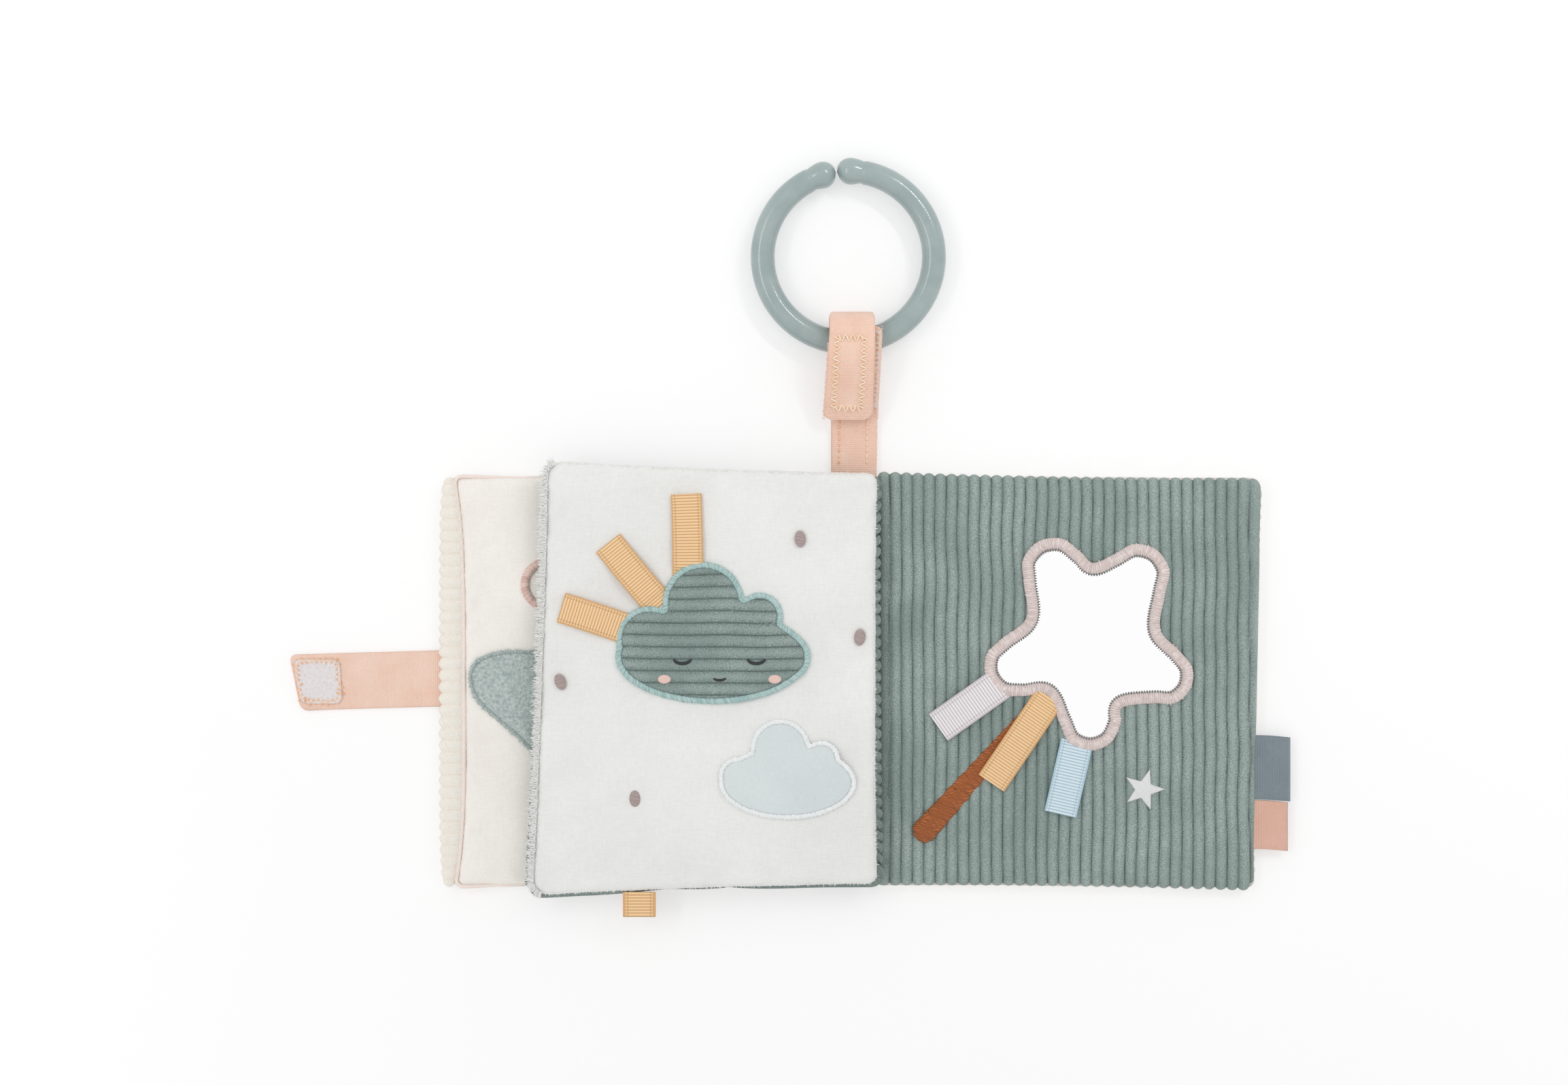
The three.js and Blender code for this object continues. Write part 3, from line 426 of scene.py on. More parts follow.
def pad_grid(corners, rim, face, steps, radius, draw=(0.7, 0.7), edge=4.0, crown=0.5, ripple=0.35, frill=0.0,
             seed=1):
    """A stuffed panel's outer surface on a grid, and how far each point lies from the seam.

    A level grid gets round corners by drawing each corner's square field onto a quarter disc, is set between the
    four corners by bilinear blending, and has its sides drawn in by a flat arch; radius and draw are given for the
    left and the right side. Its height rises from the rim as a quarter ellipse over the edge and then by a
    parabola to the crown, with soft dents and with puckers that fade away from the seam.
    """
    corners = np.array(corners, float)
    width = np.linalg.norm(corners[[1, 2]] - corners[[0, 3]], axis=1).mean()
    height = np.linalg.norm(corners[[3, 2]] - corners[[0, 1]], axis=1).mean()
    x, y = np.meshgrid(pad_places(width, edge, steps[0]), pad_places(height, edge, steps[1]), indexing="ij")
    radius, draw = (np.where(x < 0, *sides) for sides in (radius, draw))

    def past_corner(place, size):
        """How far places lie past the point where a side begins to turn into a round corner."""
        return np.maximum(np.abs(place) - size / 2 + radius, 0)

    over_x, over_y = past_corner(x, width), past_corner(y, height)
    shrink = np.maximum(over_x, over_y) / np.maximum(np.hypot(over_x, over_y), 1e-9)
    x = np.where(over_x > 0, np.sign(x) * (width / 2 - radius + over_x * shrink), x)
    y = np.where(over_y > 0, np.sign(y) * (height / 2 - radius + over_y * shrink), y)
    inward = np.maximum(np.abs(x) - width / 2, np.abs(y) - height / 2) + radius
    over_x, over_y = past_corner(x, width), past_corner(y, height)
    distance = radius - np.where((over_x > 0) | (over_y > 0), np.hypot(over_x, over_y), np.minimum(inward, 0))
    side_x, side_y = 2 * x / width, 2 * y / height
    share_x, share_y = ((side[..., None] + 1) / 2 for side in (side_x, side_y))
    spot = ((corners[0] * (1 - share_x) + corners[1] * share_x) * (1 - share_y)
            + (corners[3] * (1 - share_x) + corners[2] * share_x) * share_y)
    spot[..., 0] -= (draw * side_x ** 3 * (1 - side_y ** 4)
                     - frill * side_x ** 5 * unevenness(x * 0, y, FRILL_LENGTH, seed + 5))
    spot[..., 1] -= (0.7 * side_y ** 3 * (1 - side_x ** 2)
                     - frill * side_y ** 5 * unevenness(x, y * 0, FRILL_LENGTH, seed + 6))
    turn = quarter_round(distance / edge)
    rise = 1 - (1 - np.clip((distance - edge) / CROWN_SPAN, 0, 1)) ** 2
    dents, puckers = (unevenness(spot[..., 0], spot[..., 1], *wave)
                      for wave in ((DENT_LENGTH, seed), (PUCKER_LENGTH, seed + 1)))
    dents = ripple * (dents + 0.8 * np.exp(-distance / PUCKER_FADE) * puckers)
    up = 1 if face > rim else -1
    z = (rim + (face - up * crown - rim) * turn
         + up * (crown * rise + np.minimum(dents, DENT_LIMIT) * turn - ripple * 0.3))
    return np.concatenate([spot, z[..., None]], axis=-1), distance


def rim_line(grid):
    """The outermost points of a grid, once round."""
    return np.concatenate([grid[:, 0], grid[-1, 1:], grid[-2::-1, -1], grid[0, -2:0:-1]])


def make_pad(name, points, lift, relief, material, body, nodes):
    """Lifts a panel's surface along its normals and closes it with a flat back from its rim to its middle."""
    rows, columns = lift.shape
    normal = surface_normals(points)
    facing_down = normal[rows // 2, columns // 2, 2] * (points[rows // 2, columns // 2, 2] - points[0, 0, 2]) < 0
    normal = -normal if facing_down else normal
    shell = points + normal * lift[..., None]
    quads = grid_faces(rows, columns)[0]
    rim = rim_line(np.arange(rows * columns).reshape(rows, columns))
    middle = points.reshape(-1, 3).mean(axis=0)
    middle[2] = points[0, 0, 2]
    if facing_down:
        quads = quads[:, ::-1]
    faces = [quads, fan_faces(rim, rows * columns, not facing_down)]
    piece = make_piece(name, np.vstack([shell.reshape(-1, 3), middle]), faces, material, body, nodes,
                       values={"relief": np.append(relief, 1.0)})


# Bands: a closed section carried along a path

def even_line(points, step, closed=False):
    """The same line with its points at even steps of its length."""
    points = np.asarray(points, float)
    ends = np.vstack([points, points[:1]]) if closed else points
    run = run_along(ends)
    count = max(int(round(run[-1] / step)), 4)
    places = np.linspace(0, run[-1], count + 1)
    places = places[:-1] if closed else places
    return np.stack([np.interp(places, run, ends[:, axis]) for axis in range(ends.shape[1])], axis=1)


def bend_line(corners, radius, step):
    """A line through corners, each rounded by a parabola that starts and ends at the radius from the corner."""
    corners = [np.asarray(corner, float) for corner in corners]
    line, share = [corners[0]], np.linspace(0, 1, 9)[:, None]
    for before, corner, after in zip(corners, corners[1:], corners[2:]):
        start = corner + (before - corner) * min(radius / np.linalg.norm(before - corner), 0.5)
        end = corner + (after - corner) * min(radius / np.linalg.norm(after - corner), 0.5)
        line.extend(start * (1 - share) ** 2 + 2 * corner * share * (1 - share) + end * share ** 2)
    return even_line(np.array([*line, corners[-1]]), step)


def line_frame(path, across, closed=False):
    """The directions across a band and out of its face at each point of its path."""
    tangent = (np.roll(path, -1, axis=0) - np.roll(path, 1, axis=0)) if closed else np.gradient(path, axis=0)
    tangent = unit(tangent)
    across = unit(np.cross([0.0, 0.0, 1.0], tangent)) if across is None else np.broadcast_to(across, path.shape)
    return across, np.cross(tangent, across)


def flat_section(width, thickness, count):
    """A flat ribbon's section: level faces joined by half rounds. Its places are across and up, anticlockwise."""
    turn = np.linspace(-np.pi / 2, np.pi / 2, 5)
    right = arc((width / 2 - thickness / 2, 0), thickness / 2, turn)
    level = np.linspace(width / 2 - thickness / 2, thickness / 2 - width / 2, count)[1:-1]
    top = np.stack([level, np.full(len(level), thickness / 2)], axis=1)
    half = np.vstack([right, top])
    return np.vstack([half, -half])


def arch_section(low, high, height):
    """A satin band's section from one side to the other: a low arch over a flat underside."""
    turn = np.linspace(0, np.pi, 9)
    middle, half = (low + high) / 2, (high - low) / 2
    arch = np.stack([middle + half * np.cos(turn), height * np.sin(turn) ** 0.6], axis=1)
    return np.vstack([arch, [[middle - half * 0.5, -0.1], [middle + half * 0.5, -0.1]]])


def make_band(name, path, section, material, body, nodes=(), across=None, closed=False, swell=None, shape=None):
    """Carries a section along a path. Swell scales the section at each point; shape moves the finished points."""
    across, out = line_frame(path, across, closed)
    section = np.asarray(section)
    scale = np.ones(len(path)) if swell is None else swell
    points = (path[:, None] + across[:, None] * section[None, :, :1] * scale[:, None, None]
              + out[:, None] * section[None, :, 1:] * scale[:, None, None])
    if shape is not None:
        points = shape(points, section)
    rows, columns = points.shape[:2]
    quads, row, column = grid_faces(rows, columns, closed, True)
    run = run_along(np.vstack([path, path[:1]]))
    cloth = [np.stack([run[row], section[column % columns, 0]], axis=-1)[:, ::-1]]
    faces, cuts = [quads[:, ::-1]], []
    points = points.reshape(-1, 3)
    if not closed:
        for end, flip in ((0, True), (rows - 1, False)):
            rim = end * columns + np.arange(columns)
            cuts.append(rim)
            faces.append(fan_faces(rim, len(points), flip))
            points = np.vstack([points, points[rim].mean(axis=0)])
            cloth.append(np.full((columns, 3, 2), (run[end], 0.0)))
    return make_piece(name, points, faces, material, body, nodes, cloth, cuts=cuts)


# Plates: a surface from the middle of an outline to its rim

def make_plate(name, outline, base, top, material, body, nodes=(), *, rings, rise=None, turn=0.0, relief=None,
               middle=None):
    """A flat piece inside an outline: rings that shrink towards its middle, raised by rise(share from rim), with a
    flat underside. Turn is the direction of its map, in degrees."""
    outline = np.asarray(outline, float)
    middle = outline.mean(axis=0) if middle is None else np.asarray(middle, float)
    share = np.linspace(0, 1, rings)
    spot = outline[None] + (middle - outline)[None] * share[:, None, None] * 0.995
    reach = np.linalg.norm(outline - middle, axis=1)[None] * share[:, None]
    height = (top - base) * quarter_round(reach / 0.7) * (1.0 if rise is None else rise(share)[:, None])
    values = {}
    if relief is not None:
        pattern = relief(spot[..., 0], spot[..., 1])
        height = height + (pattern - 1) * 0.45 * np.clip(reach / 1.5, 0, 1)
        values["relief"] = np.concatenate([pattern.ravel(), [1.0, 1.0]])
    points = np.concatenate([spot, (base + height)[..., None]], axis=-1)
    rows, columns = points.shape[:2]
    quads = grid_faces(rows, columns, False, True)[0][:, ::-1]
    index = np.arange(rows * columns).reshape(rows, columns)
    level = points[-1].mean(axis=0)
    points = np.vstack([points.reshape(-1, 3), level, [*middle, base]])
    faces = [quads, fan_faces(index[-1], rows * columns), fan_faces(index[0], rows * columns + 1, True)]
    angle = np.radians(turn)
    flat = points[:, :2] @ np.array([[np.cos(angle), -np.sin(angle)], [np.sin(angle), np.cos(angle)]])
    return make_piece(name, points, faces, material, body, nodes, [flat[block] for block in faces], values)


def moved_line(line, distance):
    """A closed line moved along its own normals, which are first evened out; a positive distance is outwards."""
    tangent = np.roll(line, -3, axis=0) - np.roll(line, 3, axis=0)
    return line + distance * unit(np.stack([tangent[:, 1], -tangent[:, 0]], axis=1))


def outwards(line):
    """The level directions out of a closed flat line."""
    return raised(moved_line(line, 1.0) - line, 0.0)


# Stitches

SATIN_BOW = 0.6


def make_stitches(name, starts, ends, thickness, material, body, bow=0.0):
    """Stitches or fibres: each a six-sided spindle from a start to an end, its ends drawn to a point and its
    middle raised by the bow. Each has a random tint."""
    starts, ends = np.asarray(starts, float), np.asarray(ends, float)
    along = ends - starts
    side = unit(np.cross(unit(along), [0.0, 0.0, 1.0]))
    up = np.cross(side, unit(along))
    turn = full_turn(6)
    ring_points = np.stack([
        starts[:, None] + along[:, None] * place + [0.0, 0.0, 4 * bow * place * (1 - place)] + thickness / 2 * size
        * (side[:, None] * np.cos(turn)[None, :, None] + up[:, None] * np.sin(turn)[None, :, None])
        for place, size in ((0.06, 0.75), (0.5, 1.0), (0.94, 0.75))], axis=1)
    count = len(starts)
    points = np.concatenate([ring_points.reshape(count, 18, 3), starts[:, None], ends[:, None]], axis=1)
    quads = grid_faces(3, 6, False, True)[0]
    tips = [fan_faces(np.arange(6), 18), fan_faces(np.arange(12, 18), 19, True)]
    shift = (np.arange(count) * 20)[:, None, None]
    faces = [(block[None] + shift).reshape(-1, block.shape[1]) for block in (quads, *tips)]
    tint = np.repeat(np.random.default_rng(count).uniform(0, 1, count), 20)
    return make_piece(name, points.reshape(-1, 3), faces, material, body, values={"tint": tint})


def make_satin_edge(name, edge, low, high, z, thickness, material, body, pitch, slant, stray):
    """Satin stitches side by side along a closed edge: each crosses it from one offset to another, slants by a few
    stitches, bows up in the middle and ends at a random place near its row."""
    line = even_line(edge, pitch, True)
    starts, ends = raised(moved_line(line, low), z), raised(np.roll(moved_line(line, high), -slant, axis=0), z)
    uneven = np.random.default_rng(len(line)).normal(0, stray, (2, len(line), 1))
    along = unit(ends - starts)
    make_stitches(name, starts + along * uneven[0], ends + along * uneven[1], thickness, material, body, SATIN_BOW)


def make_fringe(name, line, out, length, count, thickness, rise, material, body):
    """Pile along an edge: fibres that start at random points of the line and lean outwards by random lengths."""
    random = np.random.default_rng(count)
    place = random.integers(0, len(line), count)
    starts = line[place] - 0.5 * out[place] + random.uniform(-rise, rise, (count, 1)) * [0.0, 0.0, 1.0]
    reach = 0.5 + length * random.uniform(0.2, 1.0, (count, 1)) ** 1.5
    ends = starts + reach * out[place] + 0.3 * length * random.normal(0, 1, (count, 3)) * [1.0, 1.0, 0.5]
    make_stitches(name, starts, ends, thickness, material, body)


def running_stitches(line, length, gap):
    """Starts and ends of straight stitches along a line."""
    pace = 0.1
    fine = even_line(line, pace)
    starts = np.arange(0, len(fine) - int(length / pace) - 1, int(round((length + gap) / pace)))
    return fine[starts], fine[starts + int(round(length / pace))]


def zigzag_stitches(line, across, width, step):
    """Starts and ends of zigzag stitches along a line; across is the direction of their swing."""
    fine = even_line(line, step)
    side = by_turns(len(fine), 0.5, -0.5)[:, None]
    corners = fine + side * width * np.asarray(across, float)
    return corners[:-1], corners[1:]


# Stage: a pale floor that is white to the camera yet keeps the book's shadow, and plain soft light

WHITE = (1.0, 1.0, 1.0, 1.0)
FLOOR_GLOW = 1.1
FLOOR_GLOW_SHARE = 0.4
SKY_STRENGTH = 0.8


def seen_share(tree):
    """1 for what the camera sees straight, mirrored or through something clear, and 0 for all other light."""
    straight, mirrored, through = (Value(tree, "LightPath", {}, f"Is {kind} Ray")
                                   for kind in ("Camera", "Glossy", "Transmission"))
    return straight.math("MAXIMUM", mirrored).math("MAXIMUM", through)


def make_stage():
    """A level floor far wider than the view, which the camera sees mixed with even white, and a white sky."""
    finish = Finish("floor_white", "#fbfbfb", 1.0)
    finish.shader.inputs["Specular IOR Level"].default_value = 0.0
    glow = finish.put("Emission", {"Color": WHITE, "Strength": FLOOR_GLOW})
    mixed = finish.put("MixShader", {0: seen_share(finish.tree) * FLOOR_GLOW_SHARE, 1: finish.shader.outputs[0],
                                     2: glow})
    finish.tree.links.new(mixed.socket, finish.tree.nodes["Material Output"].inputs["Surface"])
    size = 6000.0
    corners = np.array([[-size, -size, 0], [size, -size, 0], [size, size, 0], [-size, size, 0]])
    floor = make_piece("floor", corners, [np.array([[0, 1, 2, 3]])], finish.material, None)

    world = bpy.data.worlds.new("studio")
    bpy.context.scene.world = world
    world.use_nodes = True
    tree = world.node_tree
    sky = tree.nodes["Background"]
    sky.inputs["Color"].default_value = WHITE
    sky.inputs["Strength"].default_value = SKY_STRENGTH
    white = Value(tree, "Background", {"Color": WHITE, "Strength": 1.0})
    mixed = Value(tree, "MixShader", {0: seen_share(tree), 1: sky.outputs[0], 2: white})
    tree.links.new(mixed.socket, tree.nodes["World Output"].inputs["Surface"])


def make_lamp(name, spot, aim, size, power):
    """A soft lamp that faces a point. Its size is given across and along."""
    data = bpy.data.lights.new(name, "AREA")
    data.shape = "RECTANGLE"
    data.size, data.size_y, data.energy = *size, power
    lamp = bpy.data.objects.new(name, data)
    direction = np.array(aim) - np.array(spot)
    lamp.location = spot
    turn = np.arctan2(direction[1], direction[0])
    tilt = np.arctan2(np.hypot(direction[0], direction[1]), -direction[2])
    lamp.rotation_euler = (0.0, -tilt, turn + np.pi)
    bpy.context.scene.collection.objects.link(lamp)


make_stage()
BOOK_MIDDLE = (-0.08, 0.03, 0.0)
make_lamp("key_lamp", (1.6, 1.75, 2.5), BOOK_MIDDLE, (1.3, 1.3), 285.0)
make_lamp("fill_lamp", (-1.1, 0.2, 1.3), BOOK_MIDDLE, (1.0, 1.0), 11.5)
make_lamp("strip_lamp", (-1.25, 0.15, 0.55), BOOK_MIDDLE, (0.045, 0.9), 7.5)


# Materials

# Corduroy colours: the groove colour is painted shade in the hollows, the top colour a painted highlight on the
# ribs' tops.
SAGE_UP = corduroy("sage_corduroy_upright", "#4a5652", "#6c817b", "#b4c2be", 1)
SAGE_ACROSS = corduroy("sage_corduroy_level", "#47544f", "#687d77", "#b2c0bc", 0)
CREAM_CORD = corduroy("cream_corduroy", "#fdf1e3", "#fff6ea", "#fffbf2", 0)
WHITE_VELVET = velvet("white_velvet", "#e8e8e5", "#f6f6f4")
IVORY_VELVET = velvet("ivory_velvet", "#f1ece5", "#fdf9f3")
PALE_VELVET = velvet("pale_velvet", "#d3dcdd", "#e3e9e9", 1.4)
SAGE_FLEECE = loops("sage_fleece", "#9dafac", "#ccd5d2", 0.9)
SPINE_CLOTH = velvet("spine_cloth", "#7a918c", "#8aa09b", 1.2)
PEACH_TAPE = twill("peach_tape", "#f0c4ac", "#fce0d1", 20.4)
STRAP_TAPE = twill("strap_tape", "#f1c1a8", "#ffdfce", 16.4)
PALE_PIPING = twill("pale_piping", "#fae5da", "#fdf4ee", 2.0)
GREY_LABEL = twill("grey_label", "#717e85", "#88949b", 23.2, 0.9)
PEACH_LABEL = twill("peach_label", "#d8a792", "#eabfae", 17.6, 0.9)
OCHRE_RIBBON = grosgrain("ochre_grosgrain", "#d59a56", "#ffd9a8", 11.2)
LILAC_RIBBON = grosgrain("lilac_grosgrain", "#c6bac0", "#faf5f7", 12.0)
BLUE_RIBBON = grosgrain("blue_grosgrain", "#9bc5d9", "#e2f1f8", 11.8)
BROWN_SATIN = satin("brown_satin", "#7f3c12", "#bf6b2c", 0.5, 0.35)
BLUSH_SATIN = satin("blush_satin", "#cdb8b2", "#ecdedb", 0.75)
ROSE_SATIN = satin("rose_satin", "#d8b2a4", "#f0d5cb", 0.6)
TEAL_SATIN = satin("teal_satin", "#8fb5b2", "#bcd6d4", 0.6)
WHITE_SATIN = satin("white_satin", "#fafbfc", "#ffffff", 0.4)
CLOUD_SATIN = satin("cloud_satin", "#edf2f2", "#fdfefe", 0.6)
TAUPE_SATIN = satin("taupe_satin", "#a18b87", "#cdbbb7", 0.45)
HOOK_TAPE = loops("hook_tape", "#f4eaea", "#fffafa")
STRAP_LOOPS = loops("strap_loops", "#f2ddd4", "#fdf3ee")
CREAM_THREAD = thread("cream_thread", "#fddcb2", "#fff2de")
PEACH_THREAD = thread("peach_thread", "#eeb489", "#fbd9b8")
BLUSH_THREAD = thread("blush_thread", "#e6c3b8", "#f3d9d0")
DARK_THREAD = thread("dark_thread", "#17191b", "#33383b")
GREY_THREAD = thread("grey_thread", "#55605e", "#7d8785")
STAR_THREAD = thread("star_thread", "#d0bbb5", "#f8efed", 0.4)
ROSE_THREAD = thread("rose_thread", "#d9b0a1", "#fae8e0", 0.4)
TEAL_THREAD = thread("teal_thread", "#94bab7", "#cfe3e1", 0.45)
CLOUD_THREAD = thread("cloud_thread", "#f0f5f5", "#ffffff", 0.45)
WHITE_FIBRE = thread("white_fibre", "#ecece9", "#fafaf8", 0.9)
SAGE_FIBRE = thread("sage_fibre", "#b9c6c3", "#dbe2e0", 0.9)
PEACH_FIBRE = thread("peach_fibre", "#edc4af", "#fae2d6", 0.9)
FLEECE_FIBRE = thread("fleece_fibre", "#aabab7", "#d0dad7", 0.9)
MIRROR = mirror_film("mirror")
RING_PLASTIC = plastic("ring_plastic", "#94a5a4", "#9faeac")

# Sizes, in millimetres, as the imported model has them

LEAF = 7.0
SEAM = 3.5
MIDDLE_LEAF_Z = 8.6
BACK_CORNERS = [(-69.0, -72.4), (65.8, -74.3), (68.5, 72.3), (-69.0, 74.5)]
MIDDLE_CORNERS = [(-194.2, -76.6), (-69.6, -72.4), (-69.6, 75.0), (-188.7, 79.6)]
MIDDLE_BACK_CORNERS = [(-195.4, -76.5), (-68.4, -72.4), (-69.2, 73.2), (-188.6, 77.4)]
FRONT_CORNERS = [(-221.6, -74.0), (-88.1, -71.4), (-88.1, 73.3), (-222.2, 74.0)]
CORD_RELIEF = 0.75
VELVET_PILE = 0.15
BACK_RADIUS = (1.6, 3.6)
MIDDLE_RADIUS = (6.0, 3.6)
FRONT_FORM = {"radius": (3.0, 5.0), "draw": (3.4, 0.7)}
UP_PAGE = (0.0, 1.0, 0.0)
LEFTWARDS = (-1.0, 0.0, 0.0)


# Leaves

def cord_pad(name, corners, rim, face, direction, pitch, material, body, nodes, seed, **form):
    """A corduroy panel: a pad whose face is lifted by the wales, upright or level, and most of all at the seam."""
    steps = (0.36, 1.4) if direction == "y" else (1.4, 0.36)
    base = face - np.sign(face - rim) * CORD_RELIEF
    points, distance = pad_grid(corners, rim, base, steps, seed=seed, **form)
    x, y = points[..., 0], points[..., 1]
    pattern = wales(x, y, pitch, seed) if direction == "y" else wales(y, x, pitch, seed)
    lift = CORD_RELIEF * pattern * (1 + 0.9 * np.exp(-distance / 1.5))
    make_pad(name, points, lift, pattern, material, body, nodes)


def plain_pad(name, corners, rim, face, material, body, nodes, seed, **form):
    """A velvet panel: a pad whose face has a low pile of uneven height, highest at the seam."""
    base = face - np.sign(face - rim) * VELVET_PILE
    points, distance = pad_grid(corners, rim, base, (1.0, 1.0), seed=seed, **form)
    pile = 0.5 + 0.5 * np.random.default_rng(seed).uniform(-1, 1, distance.shape)
    lift = VELVET_PILE * pile * np.exp(-distance / 12) + 1e-3
    make_pad(name, points, lift, pile, material, body, nodes)


def make_leaves():
    """The three leaves, each an upper and an outer panel that meet at the seam, and the pile at two seams."""
    cord_pad("back_page", BACK_CORNERS, SEAM + 0.1, LEAF, "y", 4.05, SAGE_UP, "back_cover",
             ["back_cover_page", "back_cover_wadding"], 3, radius=BACK_RADIUS)
    cord_pad("back_outer", BACK_CORNERS, SEAM - 0.1, 0.02, "x", 4.1, CREAM_CORD, "back_cover",
             ["back_cover_outer"], 4, radius=BACK_RADIUS, ripple=0.0, crown=0.0)
    plain_pad("ivory_page", FRONT_CORNERS, SEAM + 0.1, LEAF, IVORY_VELVET, "front_cover",
              ["front_cover_page", "front_cover_wadding"], 5, **FRONT_FORM)
    cord_pad("front_outer", FRONT_CORNERS, SEAM - 0.1, 0.02, "x", 4.1, CREAM_CORD, "front_cover",
             ["front_cover_outer"], 6, **FRONT_FORM, ripple=0.0, crown=0.0)
    plain_pad("white_page", MIDDLE_CORNERS, MIDDLE_LEAF_Z + SEAM + 0.1, MIDDLE_LEAF_Z + LEAF, WHITE_VELVET,
              "middle_leaf", ["middle_leaf_page", "middle_leaf_wadding"], 7, radius=MIDDLE_RADIUS, ripple=0.5,
              frill=0.12, edge=3.6)
    cord_pad("middle_back", MIDDLE_BACK_CORNERS, MIDDLE_LEAF_Z + SEAM, MIDDLE_LEAF_Z, "x", 4.1, SAGE_ACROSS,
             "middle_leaf", ["middle_leaf_back"], 8, radius=MIDDLE_RADIUS, ripple=0.15, crown=0.3)
    for name, corners, z, length, count, left_only, fibre in (
            ("white_pile", MIDDLE_CORNERS, MIDDLE_LEAF_Z + SEAM + 1.2, 0.7, 2400, False, WHITE_FIBRE),
            ("white_edge_pile", MIDDLE_CORNERS, MIDDLE_LEAF_Z + SEAM + 2.0, 2.2, 5400, True, WHITE_FIBRE),
            ("sage_pile", MIDDLE_BACK_CORNERS, MIDDLE_LEAF_Z + SEAM - 0.8, 1.0, 700, True, SAGE_FIBRE)):
        rim = rim_line(pad_grid(corners, z, z + 1, (2.0, 2.0), radius=MIDDLE_RADIUS)[0])
        rim = even_line(rim[:, :2], 0.5, True)
        out = outwards(rim)
        kept = (out[:, 0] < -0.35) | (not left_only)
        make_fringe(name, (raised(rim, z) - 0.3 * out)[kept], out[kept], length, count, 0.16 + 0.04 * length, 1.1,
                    fibre, "middle_leaf")


def make_roll():
    """The rolled fore-edge: an oval section along the edge, lifted by wales that run round it, its ends drawn in
    by a quarter round and its inner side drawn back near them. The closure strap lies in a hollow underneath."""
    low, high, cap = -74.2, 73.8, 3.0
    strap_y, hollow_half, hollow_depth = 0.9, 11.5, 2.1
    y = pad_places(high - low, cap, 0.3) + (high + low) / 2
    turn = full_turn(44)
    from_end = np.minimum(y - low, high - y)
    left = -227.9 + 1.7 * np.exp(-from_end / 9)
    right = -218.2 - 3.6 * np.exp(-(from_end / 13) ** 1.4)
    reach = quarter_round(from_end / cap, 0.02)
    arch = wales(y, y * 0, 4.2, 9)
    size = 1 - (1 - arch ** 1.8)[:, None] * (0.16 - 0.08 * np.cos(turn))
    across = ((right - left) / 2 * reach)[:, None] * size * squared(np.cos(turn), 0.8)
    up = (SEAM * (0.4 + 0.6 * reach))[:, None] * size * squared(np.sin(turn), 0.8)
    hollow = np.clip(hollow_half - np.abs(y - strap_y), 0, 1)[:, None]
    up = np.maximum(up, -SEAM + hollow_depth * hollow + 0.03)
    x = ((left + right) / 2)[:, None] + across
    rows, columns = x.shape
    flat = points_at(x.ravel(), np.repeat(y, columns), (SEAM + up).ravel())
    ends = [flat[:columns].mean(axis=0), flat[-columns:].mean(axis=0)]
    faces = [grid_faces(rows, columns, False, True)[0],
             fan_faces(np.arange(columns), len(flat), False),
             fan_faces(len(flat) - columns + np.arange(columns), len(flat) + 1, True)]
    relief = np.append(np.repeat(arch, columns), [1.0, 1.0])
    piece = make_piece("fore_edge_roll", np.vstack([flat, ends]), faces, CREAM_CORD, "front_cover",
                       ["front_cover_roll"], values={"relief": relief})


def make_piping():
    """Pale piping just outside the ivory page's seam: a round section on the pad's own outline, which rises and
    thickens beside the roll."""
    points, _ = pad_grid(FRONT_CORNERS, SEAM, LEAF, (2.0, 2.0), **FRONT_FORM)
    line = moved_line(even_line(rim_line(points)[:, :2], 1.0, True), 0.2)
    section = arc((0, 0), 0.42, full_turn(10))
    beside_roll = np.clip((-200 - line[:, 0]) / 18, 0, 1)
    make_band("piping", raised(line, SEAM + 0.3 + 1.5 * beside_roll), section, PALE_PIPING, "front_cover",
              ["front_cover_piping"], closed=True, swell=1 + 0.7 * beside_roll)


def make_spine():
    """The spine's outer strip in two straight halves that meet at the fold, its lining, and the strip of cloth that
    ties the middle leaf to it."""
    fold, left_seam, right_seam = -77.9, -87.5, -68.3
    for name, far, cover, seam in (("spine_outer_right", -65.4, "back_cover", right_seam),
                                   ("spine_outer_left", -90.4, "front_cover", left_seam)):
        path = points_at(np.linspace(min(fold, far), max(fold, far), 34), 1.0, 0.65)
        strip = make_band(name, path, flat_section(146.4, 1.2, 61), CREAM_CORD, None, across=UP_PAGE)
        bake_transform(strip)
        if cover == "back_cover":
            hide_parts("spine_outer")
    lining = make_band("spine_lining_strip", points_at(np.linspace(-88.0, -67.8, 12), 1.0, 2.0),
                       flat_section(146.2, 0.9, 41), SPINE_CLOTH, "spine", ["spine_lining"], across=UP_PAGE)
    line = bend_line([(fold + 4.6, 2.8), (fold, 2.8), (fold, 9.1)], 1.2, 0.5)
    tie = make_band("leaf_tie", points_at(line[:, 0], 1.0, line[:, 1]), flat_section(142.0, 0.9, 41), SPINE_CLOTH,
                    None, ["binding_cord"], across=UP_PAGE)
    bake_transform(tie)


make_leaves()
make_roll()
make_piping()
make_spine()


# Star page

STAR_MIDDLE = np.array([7.5, 15.2])
STAR_TIPS = (53.5, 118.0, 199.5, 269.5, 333.6)
STAR_LOBES = (11.8, 11.8, 11.2, 11.2, 10.7)
STAR_VALLEYS = ((88.0, 27.8), (161.5, 24.7), (231.5, 26.0), (295.5, 27.2), (8.5, 25.5))
STAR_REACH = 40.2
STAR_BAND = 4.7
SMALL_STAR_MIDDLE = (26.6, -38.9)
RIBBON_LIFT = 0.5


